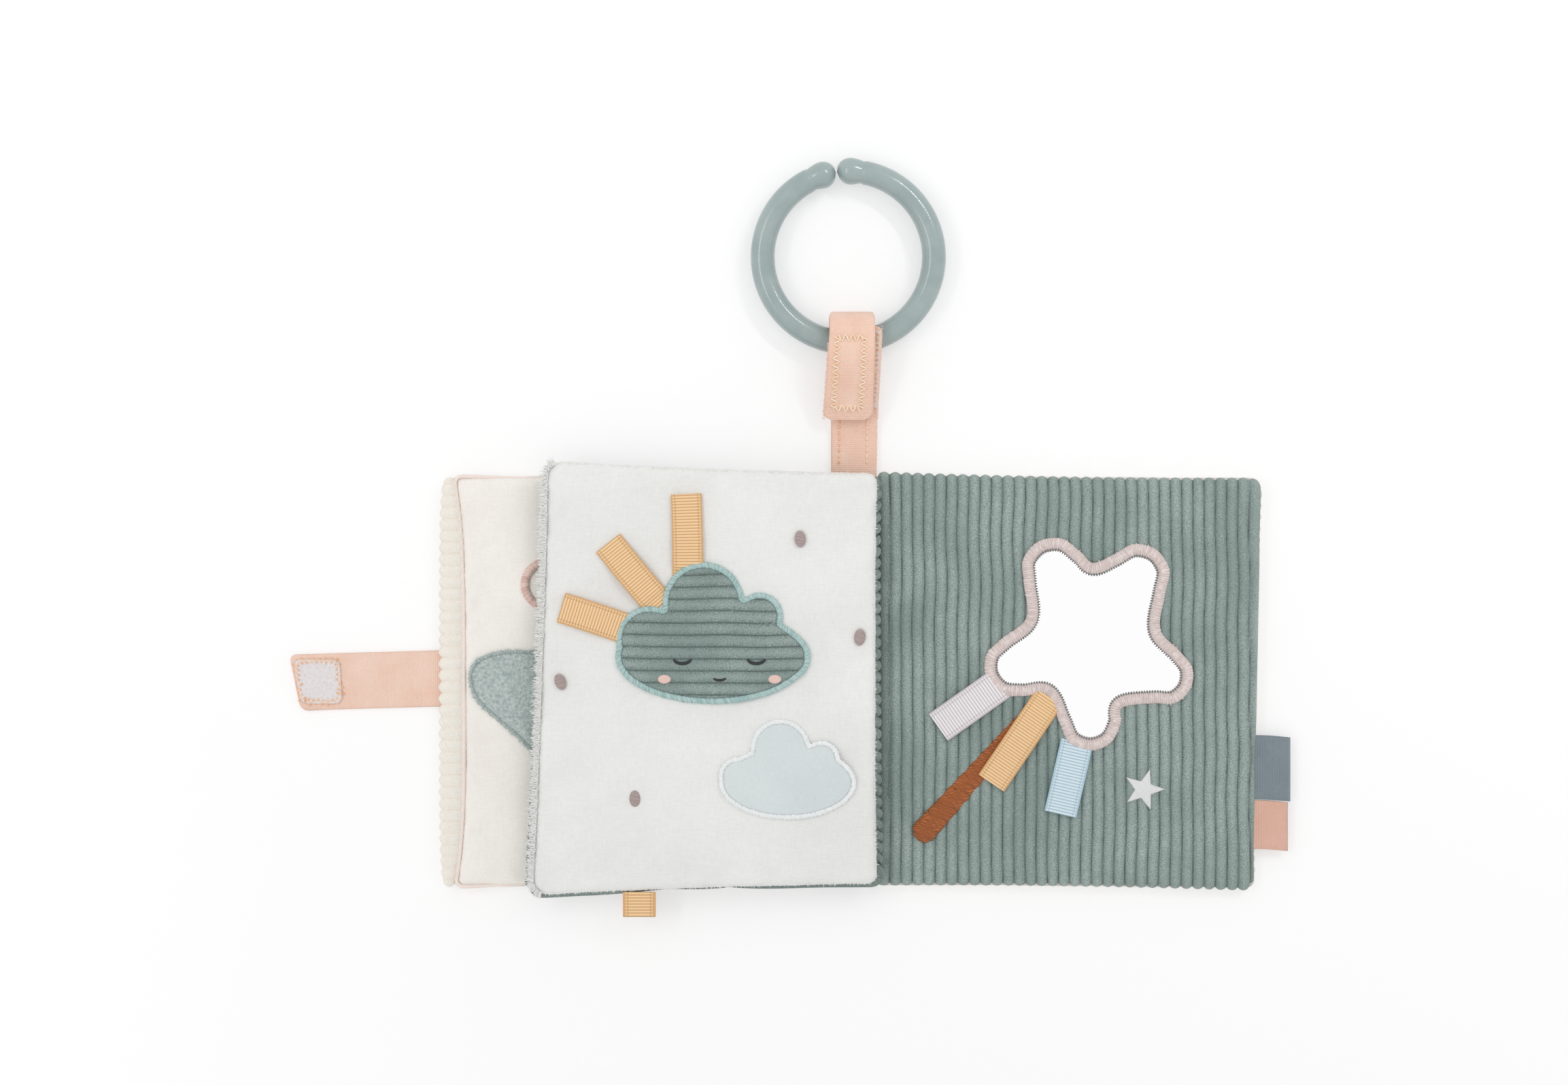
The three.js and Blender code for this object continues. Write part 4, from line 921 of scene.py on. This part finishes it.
def smooth_loop(points, step):
    """A closed curve through points: cubics whose slope at each point is half the step between its neighbours."""
    points = np.asarray(points, float)
    share = np.linspace(0, 1, 12, endpoint=False)[:, None, None]
    before, after, last = np.roll(points, 1, axis=0), np.roll(points, -1, axis=0), np.roll(points, -2, axis=0)
    curve = 0.5 * (2 * points + (after - before) * share
                   + (2 * before - 5 * points + 4 * after - last) * share ** 2
                   + (3 * points - before - 3 * after + last) * share ** 3)
    return even_line(curve.transpose(1, 0, 2).reshape(-1, 2), step, True)


def star_line():
    """The star's edge: a round end on each lobe and one point in each valley, joined by a smooth loop."""
    points = []
    for tip, lobe, (valley, depth) in zip(np.radians(STAR_TIPS), STAR_LOBES, STAR_VALLEYS):
        heart = arc(STAR_MIDDLE, STAR_REACH - lobe, tip)
        points.extend(arc(heart, lobe, tip + np.radians([-84, -42, 0, 42, 84])))
        points.append(arc(STAR_MIDDLE, depth, np.radians(valley)))
    return smooth_loop(points, 0.5)


def ribbon_line(x, y, angle, length, base, tuck, lean):
    """A ribbon's middle line from under its seam to its free end: straight, or leaning to one side as a parabola,
    lifted off the page in the middle by half a sine wave, and pressed into it under the seam."""
    run = np.linspace(-tuck, length, int((length + tuck) / 0.6) + 2)
    direction, aside = heading(angle)
    share = np.clip(run / length, 0, 1)
    flat = np.array([x, y]) + run[:, None] * direction + (lean * share ** 2)[:, None] * aside
    pressed = 0.7 * np.clip((1.2 - run) / 2.0, 0, 1)
    return raised(flat, base + RIBBON_LIFT * np.sin(np.pi * share) ** 2 - pressed)


def make_ribbon(name, spot, angle, length, width, base, material, body, node, lean, tuck):
    """A grosgrain ribbon that lies on a page with one end free and the other under a satin edge."""
    line = ribbon_line(*spot, angle, length, base, tuck, lean)
    ribbon = make_band(name, line, flat_section(width, 0.75, 15), material, body, [node])


def make_star_page():
    """The mirror, its satin edge, the ribbons, the stick and the small star."""
    edge = star_line()
    base = LEAF - 0.3
    make_plate("mirror_film", moved_line(edge, 0.8 - STAR_BAND), base, LEAF + 0.5, MIRROR, "back_cover",
               ["star_mirror"], rings=30, middle=STAR_MIDDLE)
    make_band("star_edge", raised(moved_line(edge, -STAR_BAND / 2), base),
              arch_section(-STAR_BAND / 2, STAR_BAND / 2, 1.25), BLUSH_SATIN, "back_cover", ["star_border"],
              closed=True)
    make_satin_edge("star_edge_stitches", edge, 0.5 - STAR_BAND, -0.15, LEAF + 0.3, 0.5, STAR_THREAD, "back_cover",
                    0.44, 0, 0.25)
    inner = even_line(moved_line(edge, 0.3 - STAR_BAND), 0.95, True)
    knots = moved_line(inner, 0.32)
    make_stitches("star_edge_knots", raised(2 * inner - knots, LEAF + 0.75), raised(knots, LEAF + 0.95), 0.58,
                  GREY_THREAD, "back_cover")

    for name, spot, angle, length, width, lift, material, tuck in (
            ("lilac", (-25.3, -0.8), 215.2, 27.1, 12.0, 0.45, LILAC_RIBBON, 1.6),
            ("blue", (2.2, -23.1), 257.0, 25.3, 11.8, 0.45, BLUE_RIBBON, 1.6),
            ("ochre", (-9.8, -9.0), 235.9, 33.2, 11.2, 1.1, OCHRE_RIBBON, 4.2)):
        make_ribbon(name + "_loop", spot, angle, length, width, LEAF + lift, material, "back_cover",
                    name + "_ribbon", 0.0, tuck)

    direction, aside = heading(48.0)
    half, length = 4.4, 62.4
    run = np.concatenate([half * (1 - np.cos(np.linspace(0, np.pi / 2, 12)))[1:-1], np.arange(half, length, 0.4)])
    middle = np.array([-52.2, -53.6]) + (run - half)[:, None] * direction
    middle = middle + 0.12 * unevenness(run, run * 0, 1.9, 12)[:, None] * aside
    swell = np.interp(run, [half, length], [1.0, 0.68]) * quarter_round(run / half)
    make_band("stick", raised(middle, LEAF - 0.5), arch_section(-half, half, 1.3), BROWN_SATIN, "back_cover",
              ["satin_stick"], swell=swell * (1 + 0.03 * unevenness(run, run * 0, 1.5, 13)))

    corners = arc(SMALL_STAR_MIDDLE, by_turns(10, 7.9, 3.3)[:, None], np.radians(np.arange(10) * 36.0 + 1.0))
    make_plate("stitched_star", even_line(corners, 0.25, True), LEAF - 0.4, LEAF + 1.1, WHITE_SATIN, "back_cover",
               ["small_star"], rings=16, rise=lambda share: 0.6 + 0.4 * share, turn=35.0,
               middle=SMALL_STAR_MIDDLE)


make_star_page()


# Cloud page

BIG_PUFFS = [(-151.4, 15.4, 11.8), (-132.0, 28.5, 14.5), (-111.9, 23.8, 8.3), (-102.6, 9.1, 8.8)]
BIG_BASE = (-128.9, 9.3, 34.5, 16.9)
SMALL_PUFFS = [(-119.8, -33.6, 6.6), (-104.4, -23.8, 10.5), (-89.7, -27.4, 6.4), (-82.8, -36.5, 5.4)]
SMALL_BASE = (-101.8, -36.0, 24.4, 13.0)


def cloud_line(middle, puffs, base):
    """A cloud's edge: for each direction from its middle, the farthest crossing of that ray with the round puffs
    and with a wide ellipse, the base. Its corners are evened out."""
    ray = arc((0, 0), 1, full_turn(1440))
    reach = np.zeros(len(ray))
    for x, y, half, high in [(*puff, puff[2]) for puff in puffs] + [base]:
        size = np.array([half, high])
        away, step = (np.array([x, y]) - middle) / size, ray / size
        along, pace = step @ away, (step ** 2).sum(axis=1)
        root = along ** 2 - pace * (away @ away - 1)
        reach = np.maximum(reach, np.where(root > 0, (along + np.sqrt(np.maximum(root, 0))) / pace, 0))
    line = even_line(np.asarray(middle) + reach[:, None] * ray, 0.5, True)
    for _ in range(2):
        line = (np.roll(line, 1, axis=0) + 2 * line + np.roll(line, -1, axis=0)) / 4
    return line


def make_thread_line(name, points, width, height, material, body):
    """A line of embroidery: a low arch carried along a curve, drawn to a point at both ends."""
    path = even_line(points, 0.35)
    share = np.linspace(0, 1, len(path))
    swell = np.clip(np.sqrt(np.maximum(1 - (2 * share - 1) ** 4, 0)), 0.25, 1)
    make_band(name, path, arch_section(-width / 2, width / 2, height), material, body, swell=swell)


def make_face(base):
    """Sleepy embroidery on the cloud: two closed lids, a small smile and round blushes."""
    for name, middle, radii, span, count, width, height in (
            ("left_lid", (-139.5, 9.2), (3.5, 2.4), (200, 340), 22, 1.25, 0.6),
            ("right_lid", (-113.0, 9.2), (3.5, 2.4), (200, 340), 22, 1.25, 0.6),
            ("smile", (-126.2, 2.8), (3.0, 2.0), (215, 325), 18, 0.95, 0.5)):
        line = arc(middle, radii, np.radians(np.linspace(*span, count)))
        make_thread_line(name, raised(line, base), width, height, DARK_THREAD, "middle_leaf")
    for name, x in (("left_blush", -146.0), ("right_blush", -106.4)):
        make_plate(name, arc((x, 1.2), (2.5, 1.7), full_turn(48)), base - 0.1, base + 0.4, BLUSH_THREAD,
                   "middle_leaf", rings=8)


def doubled(half, fold):
    """A middle line that runs out along its upper half, turns at the fold and comes back as the mirror image."""
    return np.vstack([half[:-1], [fold], half[-2::-1] * [1, 1, -1]])


def make_cloud_page():
    """The two clouds with their satin edges, the sun ribbons, the dots and the tag in the seam."""
    face = MIDDLE_LEAF_Z + LEAF
    base = face - 0.3
    for name, middle, puffs, wide, band, fill, satin_base, stitches, pitch, nodes in (
            ("big_cloud_cord", (-128.9, 16.0), BIG_PUFFS, BIG_BASE, 2.3, SAGE_ACROSS, TEAL_SATIN, TEAL_THREAD, 0.55,
             ("big_cloud", "big_cloud_border")),
            ("small_cloud_velvet", (-101.8, -33.0), SMALL_PUFFS, SMALL_BASE, 1.9, PALE_VELVET, CLOUD_SATIN,
             CLOUD_THREAD, 0.5, ("small_cloud", "small_cloud_border"))):
        edge = cloud_line(middle, puffs, wide)
        relief = (lambda x, y: wales(y, x, 4.29, 14)) if fill is SAGE_ACROSS else None
        cloud = make_plate(name, moved_line(edge, -band + 0.5), base, face + 1.15, fill, "middle_leaf",
                           nodes[:1], rings=70, relief=relief, middle=middle)
        area = 0.5 * abs(np.sum(edge[:, 0] * np.roll(edge[:, 1], -1) - edge[:, 1] * np.roll(edge[:, 0], -1)))
        fringe = moved_line(edge, -band / 2 + 0.15)
        make_band(nodes[1] + "_band", raised(fringe, base), arch_section(-band / 2, band / 2, 1.3), satin_base,
                  "middle_leaf", nodes[1:], closed=True)
        make_satin_edge(nodes[1] + "_stitches", edge, 0.3 - band, 0.2, base + 0.75, 0.55, stitches, "middle_leaf",
                        pitch, 2, 0.14)
    make_face(face + 0.95)

    for index, (spot, angle, length, lean) in enumerate((
            ((-137.6, 41.0), 90.0, 26.6, 0.6), ((-150.2, 30.5), 130.5, 25.2, -0.5),
            ((-160.0, 19.3), 160.4, 24.2, 0.6)), 1):
        make_ribbon(f"sun_loop_{index}", spot, angle, length, 11.0, face + 0.45, OCHRE_RIBBON, "middle_leaf",
                    f"sun_ribbon_{index}", lean, 4.0)
    across, along = arc((0, 0), (2.0, 3.0), full_turn(60)).T
    for index, (*middle, lean) in enumerate(((-97.3, 51.5, 4), (-75.9, 16.2, -6), (-183.3, 0.2, 20),
                                             (-156.6, -41.7, 0)), 1):
        direction, aside = heading(lean)
        oval = np.array(middle) + np.outer(across, direction) + np.outer(along, aside)
        make_plate(f"dot_{index}", oval, base, face + 0.95, TAUPE_SATIN, "middle_leaf", [f"stitched_dot_{index}"],
                   rings=12, rise=lambda share: np.sqrt(1 - 0.75 * (1 - share) ** 2), turn=80.0 + lean)

    root, z, length = -75.4, MIDDLE_LEAF_Z + SEAM, 8.5
    run = np.linspace(0, 1, 26)
    half = points_at(0.0, -run * length, 0.32 + 0.25 * np.sin(np.pi * run))
    path = doubled(half, [0, -length - 0.3, 0]) + [-155.1, root, z]
    tag = make_band("seam_tag", path, flat_section(11.8, 0.5, 13), OCHRE_RIBBON, "bottom_tag", ["bottom_tag"],
                    across=LEFTWARDS)


make_cloud_page()


# Ivory page

def make_ivory_page():
    """The soft sage shape and the stitched ring that look out from under the middle leaf."""
    edge = smooth_loop([(-216.1, 1.6), (-213.9, 6.8), (-207.0, 9.9), (-197.0, 10.6), (-184.0, 9.0), (-172.0, 1.0),
                        (-169.0, -12.0), (-176.0, -24.0), (-187.0, -28.4), (-195.0, -23.4), (-200.6, -18.0),
                        (-206.6, -13.0), (-213.6, -6.2)][::-1], 0.7)
    middle = (-192.0, -7.0)
    hill = make_plate("sage_hill", edge, LEAF - 0.4, LEAF + 0.9, SAGE_FLEECE, "front_cover", ["sage_flap"],
                      rings=60, middle=middle, rise=lambda share: 0.25 + 0.75 * np.clip(share / 0.2, 0, 1) ** 0.6)
    points = np.empty(3 * len(hill.data.vertices), np.float32)
    hill.data.vertices.foreach_get("co", points)
    points = points.reshape(-1, 3)
    x, y = points[:, 0] / MM, points[:, 1] / MM
    folds = unevenness(x, y, 19, 31) + 1.2 * np.exp(-((x + 203 + 0.35 * y) / 3.0) ** 2) * (y < 4)
    points[:, 2] += np.where(points[:, 2] > (LEAF + 0.5) * MM, 0.38 * MM * folds, 0)
    hill.data.vertices.foreach_set("co", points.ravel())
    make_fringe("sage_hill_pile", raised(edge, LEAF + 0.25), outwards(edge), 1.1, 3000, 0.2, 0.3, FLEECE_FIBRE,
                "front_cover")
    circle = arc((-188.4, 35.0), 8.1, full_turn(300))
    make_band("rose_ring", raised(circle, LEAF - 0.4), arch_section(-1.5, 1.5, 1.2), ROSE_SATIN, "front_cover",
              ["pink_ring"], closed=True)
    make_satin_edge("rose_ring_stitches", circle, -1.5, 1.5, LEAF + 0.35, 0.6, ROSE_THREAD, "front_cover", 0.55, 1,
                    0.1)


make_ivory_page()


# Labels and closure strap

CLOSURE_WIDTH = 20.4
CLOSURE_MEETING = -246.0
CLOSURE_END = -281.9


def make_labels():
    """Two blank woven labels, each doubled over and sewn into the back cover's side seam."""
    for name, x, y, width, length, material in (
            ("grey_woven_label", 66.2, -31.0, 23.2, 13.2, GREY_LABEL),
            ("peach_woven_label", 65.8, -51.7, 17.6, 12.7, PEACH_LABEL)):
        run = np.linspace(0, 1, 24)
        half = points_at(run * length, -0.8 * run ** 2, 0.3 + 0.5 * np.sin(np.pi * run))
        path = doubled(half, [length + 0.25, -0.8, 0]) + [x, y, SEAM]
        body = name.replace("_woven", "")
        label = make_band(name, path, flat_section(width, 0.42, 21), material, None, [body], across=UP_PAGE)
        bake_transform(label)


def make_closure():
    """The closure strap as two straight lengths that meet part way along, with the hook patch and its stitches."""
    section = flat_section(CLOSURE_WIDTH, 1.75, 31)

    def strap_path(start, end, count):
        """The strap's middle line, which falls a little towards its free end."""
        x = np.linspace(start, end, count)
        return points_at(x, np.interp(x, [CLOSURE_END, -229.0], [-0.5, 0.95]), 0.92)

    def soft_corners(points, section):
        """Slants the strap's free end and rounds its corners."""
        left = points[:, :1, 0] - CLOSURE_END
        aside = section[:, 0] / (CLOSURE_WIDTH / 2)
        round_off = 2.6 * (1 - quarter_round((1 - np.abs(aside)) / 0.28))
        moved = np.where(left < 24, (1 - left / 24).clip(0, 1) ** 2, 0)
        points = points.copy()
        points[..., 0] += moved * (1.9 * (1 + aside) + round_off)
        return points

    strap = make_band("closure_root", strap_path(-221.5, CLOSURE_MEETING, 60), section, PEACH_TAPE, None,
                      ["closure_anchor", "closure_strap"])
    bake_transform(strap)
    end = make_band("closure_tip", strap_path(CLOSURE_MEETING, CLOSURE_END, 110), section, PEACH_TAPE, None,
                    ["closure_tab"], shape=soft_corners)
    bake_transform(end)

    middle = np.array([-271.3, -0.1])
    square = 8.2 * squared(arc((0, 0), 1, full_turn(160)), 0.3)
    square[:, 0] -= square[:, 1] * np.where(square[:, 0] < 0, 0.17, 0.06)
    patch = make_plate("hook_square", square + middle, 1.7, 2.6, HOOK_TAPE, "closure_tab", ["closure_hook_patch"],
                       rings=26)
    zigzag = even_line(square, 1.05, True)
    random = np.random.default_rng(8).normal(0, 0.03, len(zigzag))
    reach = by_turns(len(zigzag), 1.07, 0.78) + random
    corners = np.column_stack([middle + zigzag * reach[:, None], np.where(reach > 1, 2.0, 2.85)])
    make_stitches("hook_square_stitches", corners, np.roll(corners, -1, axis=0), 0.5, PEACH_THREAD, "closure_tab")

    square = np.array([[38.2, -7.5], [61.8, -7.5], [61.8, 9.3], [38.2, 9.3]])
    loop = make_plate("loop_square", even_line(square, 0.6, True), 0.75, 0.03, HOOK_TAPE, "back_cover",
                      ["closure_loop_patch"], rings=20)
    loop.data.flip_normals()


make_labels()
make_closure()


# Hanging strap and link ring

STRAP_WIDTH = 16.4
FLAP_WIDTH = 16.8
FLAP_TOP = 125.6
FLAP_SWING = 121.8
TAPE_START = 99.0
HOOKS_END = 122.5


def flap_widening(y):
    """The flap's width, as a share of the ribbon's: it grows from the flap's top towards its free end."""
    return 0.98 + 0.08 * np.clip((FLAP_TOP - y) / 30, 0, 1)


def narrowed(points, path, left, loss, wide=1.0):
    """A ribbon's points drawn towards its middle line by a quarter round, as the share left to its end falls from
    1 to 0: that rounds the end's corners."""
    points = points.copy()
    share = (1 - loss * (1 - quarter_round(left))) * wide
    points[..., 0] = path[:, :1] + (points[..., 0] - path[:, :1]) * share
    return points


def make_hanging_strap():
    """The ribbon that passes behind the ring, folds over it and comes down as the flap; the front layer that ends
    on the ring; the fastening between them; and the stitches."""
    bend = arc((124.86, 8.54), 7.94, np.radians(np.linspace(-90, 90, 30)))
    back = even_line(np.vstack([[[70.5, 1.35], [75.5, 0.75], [79.0, 0.62], [120.0, 0.62]], bend]), 0.6)
    back_path = np.column_stack([np.interp(back[:, 0], [74, 92, 133], [-77.9, -77.9, -78.7]), back])

    def round_fold(points, section):
        """Rounds the strap's outline where it folds over the ring."""
        left = 133.4 - points[..., 1].max(axis=1, keepdims=True)
        return narrowed(points, back_path, left / 1.8, 0.12)

    lower = make_band("strap_back", back_path, flat_section(STRAP_WIDTH, 1.15, 21), STRAP_TAPE, None,
                      ["hang_strap"], across=LEFTWARDS, shape=round_fold)
    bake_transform(lower)

    front = bend_line([(71.0, 2.15), (76.0, 1.95), (93.4, 1.95), (117.4, 13.35), (128.2, 13.35)], 6.0, 0.6)
    drift = np.interp(front[:, 0], [71, 93, 128], [-77.9, -77.6, -75.8])
    path = np.column_stack([drift, front])
    out = line_frame(path, LEFTWARDS)[1]

    def round_end(points, section):
        """Rounds the corners of the front layer's end."""
        return narrowed(points, path, (path[-1, 1] - path[:, 1:2]) / 3.2, 0.36)

    upper = make_band("strap_front", path, flat_section(STRAP_WIDTH, 1.15, 21), STRAP_TAPE, None,
                      ["hang_strap_front"], across=LEFTWARDS, shape=round_end)
    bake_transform(upper)

    start, stop = np.searchsorted(path[:, 1], [TAPE_START, HOOKS_END])
    patch_path = path[start:-3] + out[start:-3] * 0.95
    fuzz = make_band("strap_loop_tape", patch_path + [0.6, 0, 0], flat_section(14.2, 0.8, 19), STRAP_LOOPS,
                     "hanging_strap", ["hang_loop_patch"], across=LEFTWARDS)
    hook = make_band("strap_hook_tape", path[start:stop] + out[start:stop] * 1.85 + [-1.8, 0, 0],
                     flat_section(12.6, 0.75, 17), STRAP_LOOPS, "hanging_flap", ["hang_hook_patch"],
                     across=LEFTWARDS)

    slope = bend_line([(FLAP_TOP, 16.48), (116.7, 16.48), (94.7, 6.05)], 6.0, 0.6)
    flap_path = np.column_stack([np.interp(slope[:, 0], [94, 126], [-80.1, -78.55]), slope])

    def soft_end(points, section):
        """Rounds the corners of the flap's free end."""
        y = flap_path[:, 1:2]
        return narrowed(points, flap_path, (y - y[-1]) / 2.6, 0.3, flap_widening(y))

    flap = make_band("strap_flap", flap_path, flat_section(FLAP_WIDTH, 1.2, 21), STRAP_TAPE, None, ["hang_flap"],
                     across=(1.0, 0.0, 0.0), shape=soft_end)
    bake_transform(flap)

    face = flap_path + line_frame(flap_path, (1.0, 0.0, 0.0))[1] * 0.85
    face = face[np.argsort(face[:, 1])]

    def over(line, y, offset, up=0.0):
        """Points at y places over a line that runs up the page, moved aside and up."""
        x, z = (np.interp(y, line[:, 1], line[:, axis]) for axis in (0, 2))
        return points_at(x + offset, y, z + up)

    lines = [(over(face, np.linspace(98.4, 124.0, 18), offset), (1, 0, 0)) for offset in (-5.3, 4.5)]
    lines += [(over(face, y, np.linspace(-5.0, 4.2, 10)), (0, 1, 0)) for y in (98.6, 123.6)]
    runs = [zigzag_stitches(line, swing, 2.6, 1.3) for line, swing in lines]
    zigzag = make_stitches("flap_zigzag", np.vstack([run[0] for run in runs]), np.vstack([run[1] for run in runs]),
                           0.62, CREAM_THREAD, None, 0.15)
    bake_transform(zigzag)

    run = zigzag_stitches(over(path, np.linspace(101.0, 125.5, 20), 6.4, 1.5), (1, 0, 0), 2.0, 0.9)
    make_stitches("front_zigzag", *run, 0.42, PEACH_THREAD, "hanging_strap", 0.1)
    for name, offset, fibre in (("left_strap_seam", -5.5, PEACH_THREAD), ("right_strap_seam", 4.6, CREAM_THREAD)):
        run = running_stitches(over(path, np.linspace(78.5, 96.0, 30), offset, 0.72), 1.5, 0.6)
        make_stitches(name, *run, 0.6, fibre, "hanging_strap", 0.1)
    flap_line = flap_path[flap_path[:, 1] < FLAP_SWING]
    front_line = path[path[:, 1] > 79]
    for name, line, side, wide, body in (
            ("flap_pile_left", flap_line, -1, FLAP_WIDTH / 2 - 0.1, "hanging_flap"),
            ("flap_pile_right", flap_line, 1, FLAP_WIDTH / 2 - 0.1, "hanging_flap"),
            ("front_pile_right", front_line, 1, 16.2 / 2 - 0.1, "hanging_strap")):
        wide = wide * (flap_widening(line[:, 1]) if body == "hanging_flap" else np.full(len(line), 0.98))
        edge = line + np.outer(wide * side, [1.0, 0.0, 0.0])
        make_fringe(name, edge, np.tile([float(side), 0.0, 0.0], (len(edge), 1)), 0.6, 380, 0.15, 0.4, PEACH_FIBRE,
                    body)


def make_link_ring():
    """The ring: a circle open between its two ends, whose tube radius follows its distance from each end. It rises
    as a half circle to the ball, sinks to a neck, steps up at a collar and goes on as the tube."""
    radius, tube, ball, neck, collar = 30.9, 4.35, 4.9, 4.0, 9.2
    gap = np.arcsin((ball + 0.2) / radius)
    beyond = ball / radius
    angle = np.radians(98.0) + np.linspace(gap - beyond, 2 * np.pi - gap + beyond, 460)
    path = raised(arc((-79.9, 153.3), radius, angle), 5.85)
    run = (angle - angle[0]) * radius
    from_end = np.minimum(run, run[-1] - run)
    cap = np.sqrt(np.maximum(ball ** 2 - np.minimum(from_end - ball, 0) ** 2, 0.01))
    sink = ball - (ball - neck) * np.clip((from_end - ball) / (collar - ball), 0, 1) ** 1.6
    shaft = tube * np.clip(0.93 + 0.07 * (from_end - collar) / 0.8, 0.92, 1.0)
    size = np.where(from_end < ball, cap, np.where(from_end < collar, sink, shaft))
    make_band("ring", path, arc((0, 0), 1, full_turn(48)), RING_PLASTIC, "link_ring", ["link_ring"], swell=size)


make_hanging_strap()
make_link_ring()
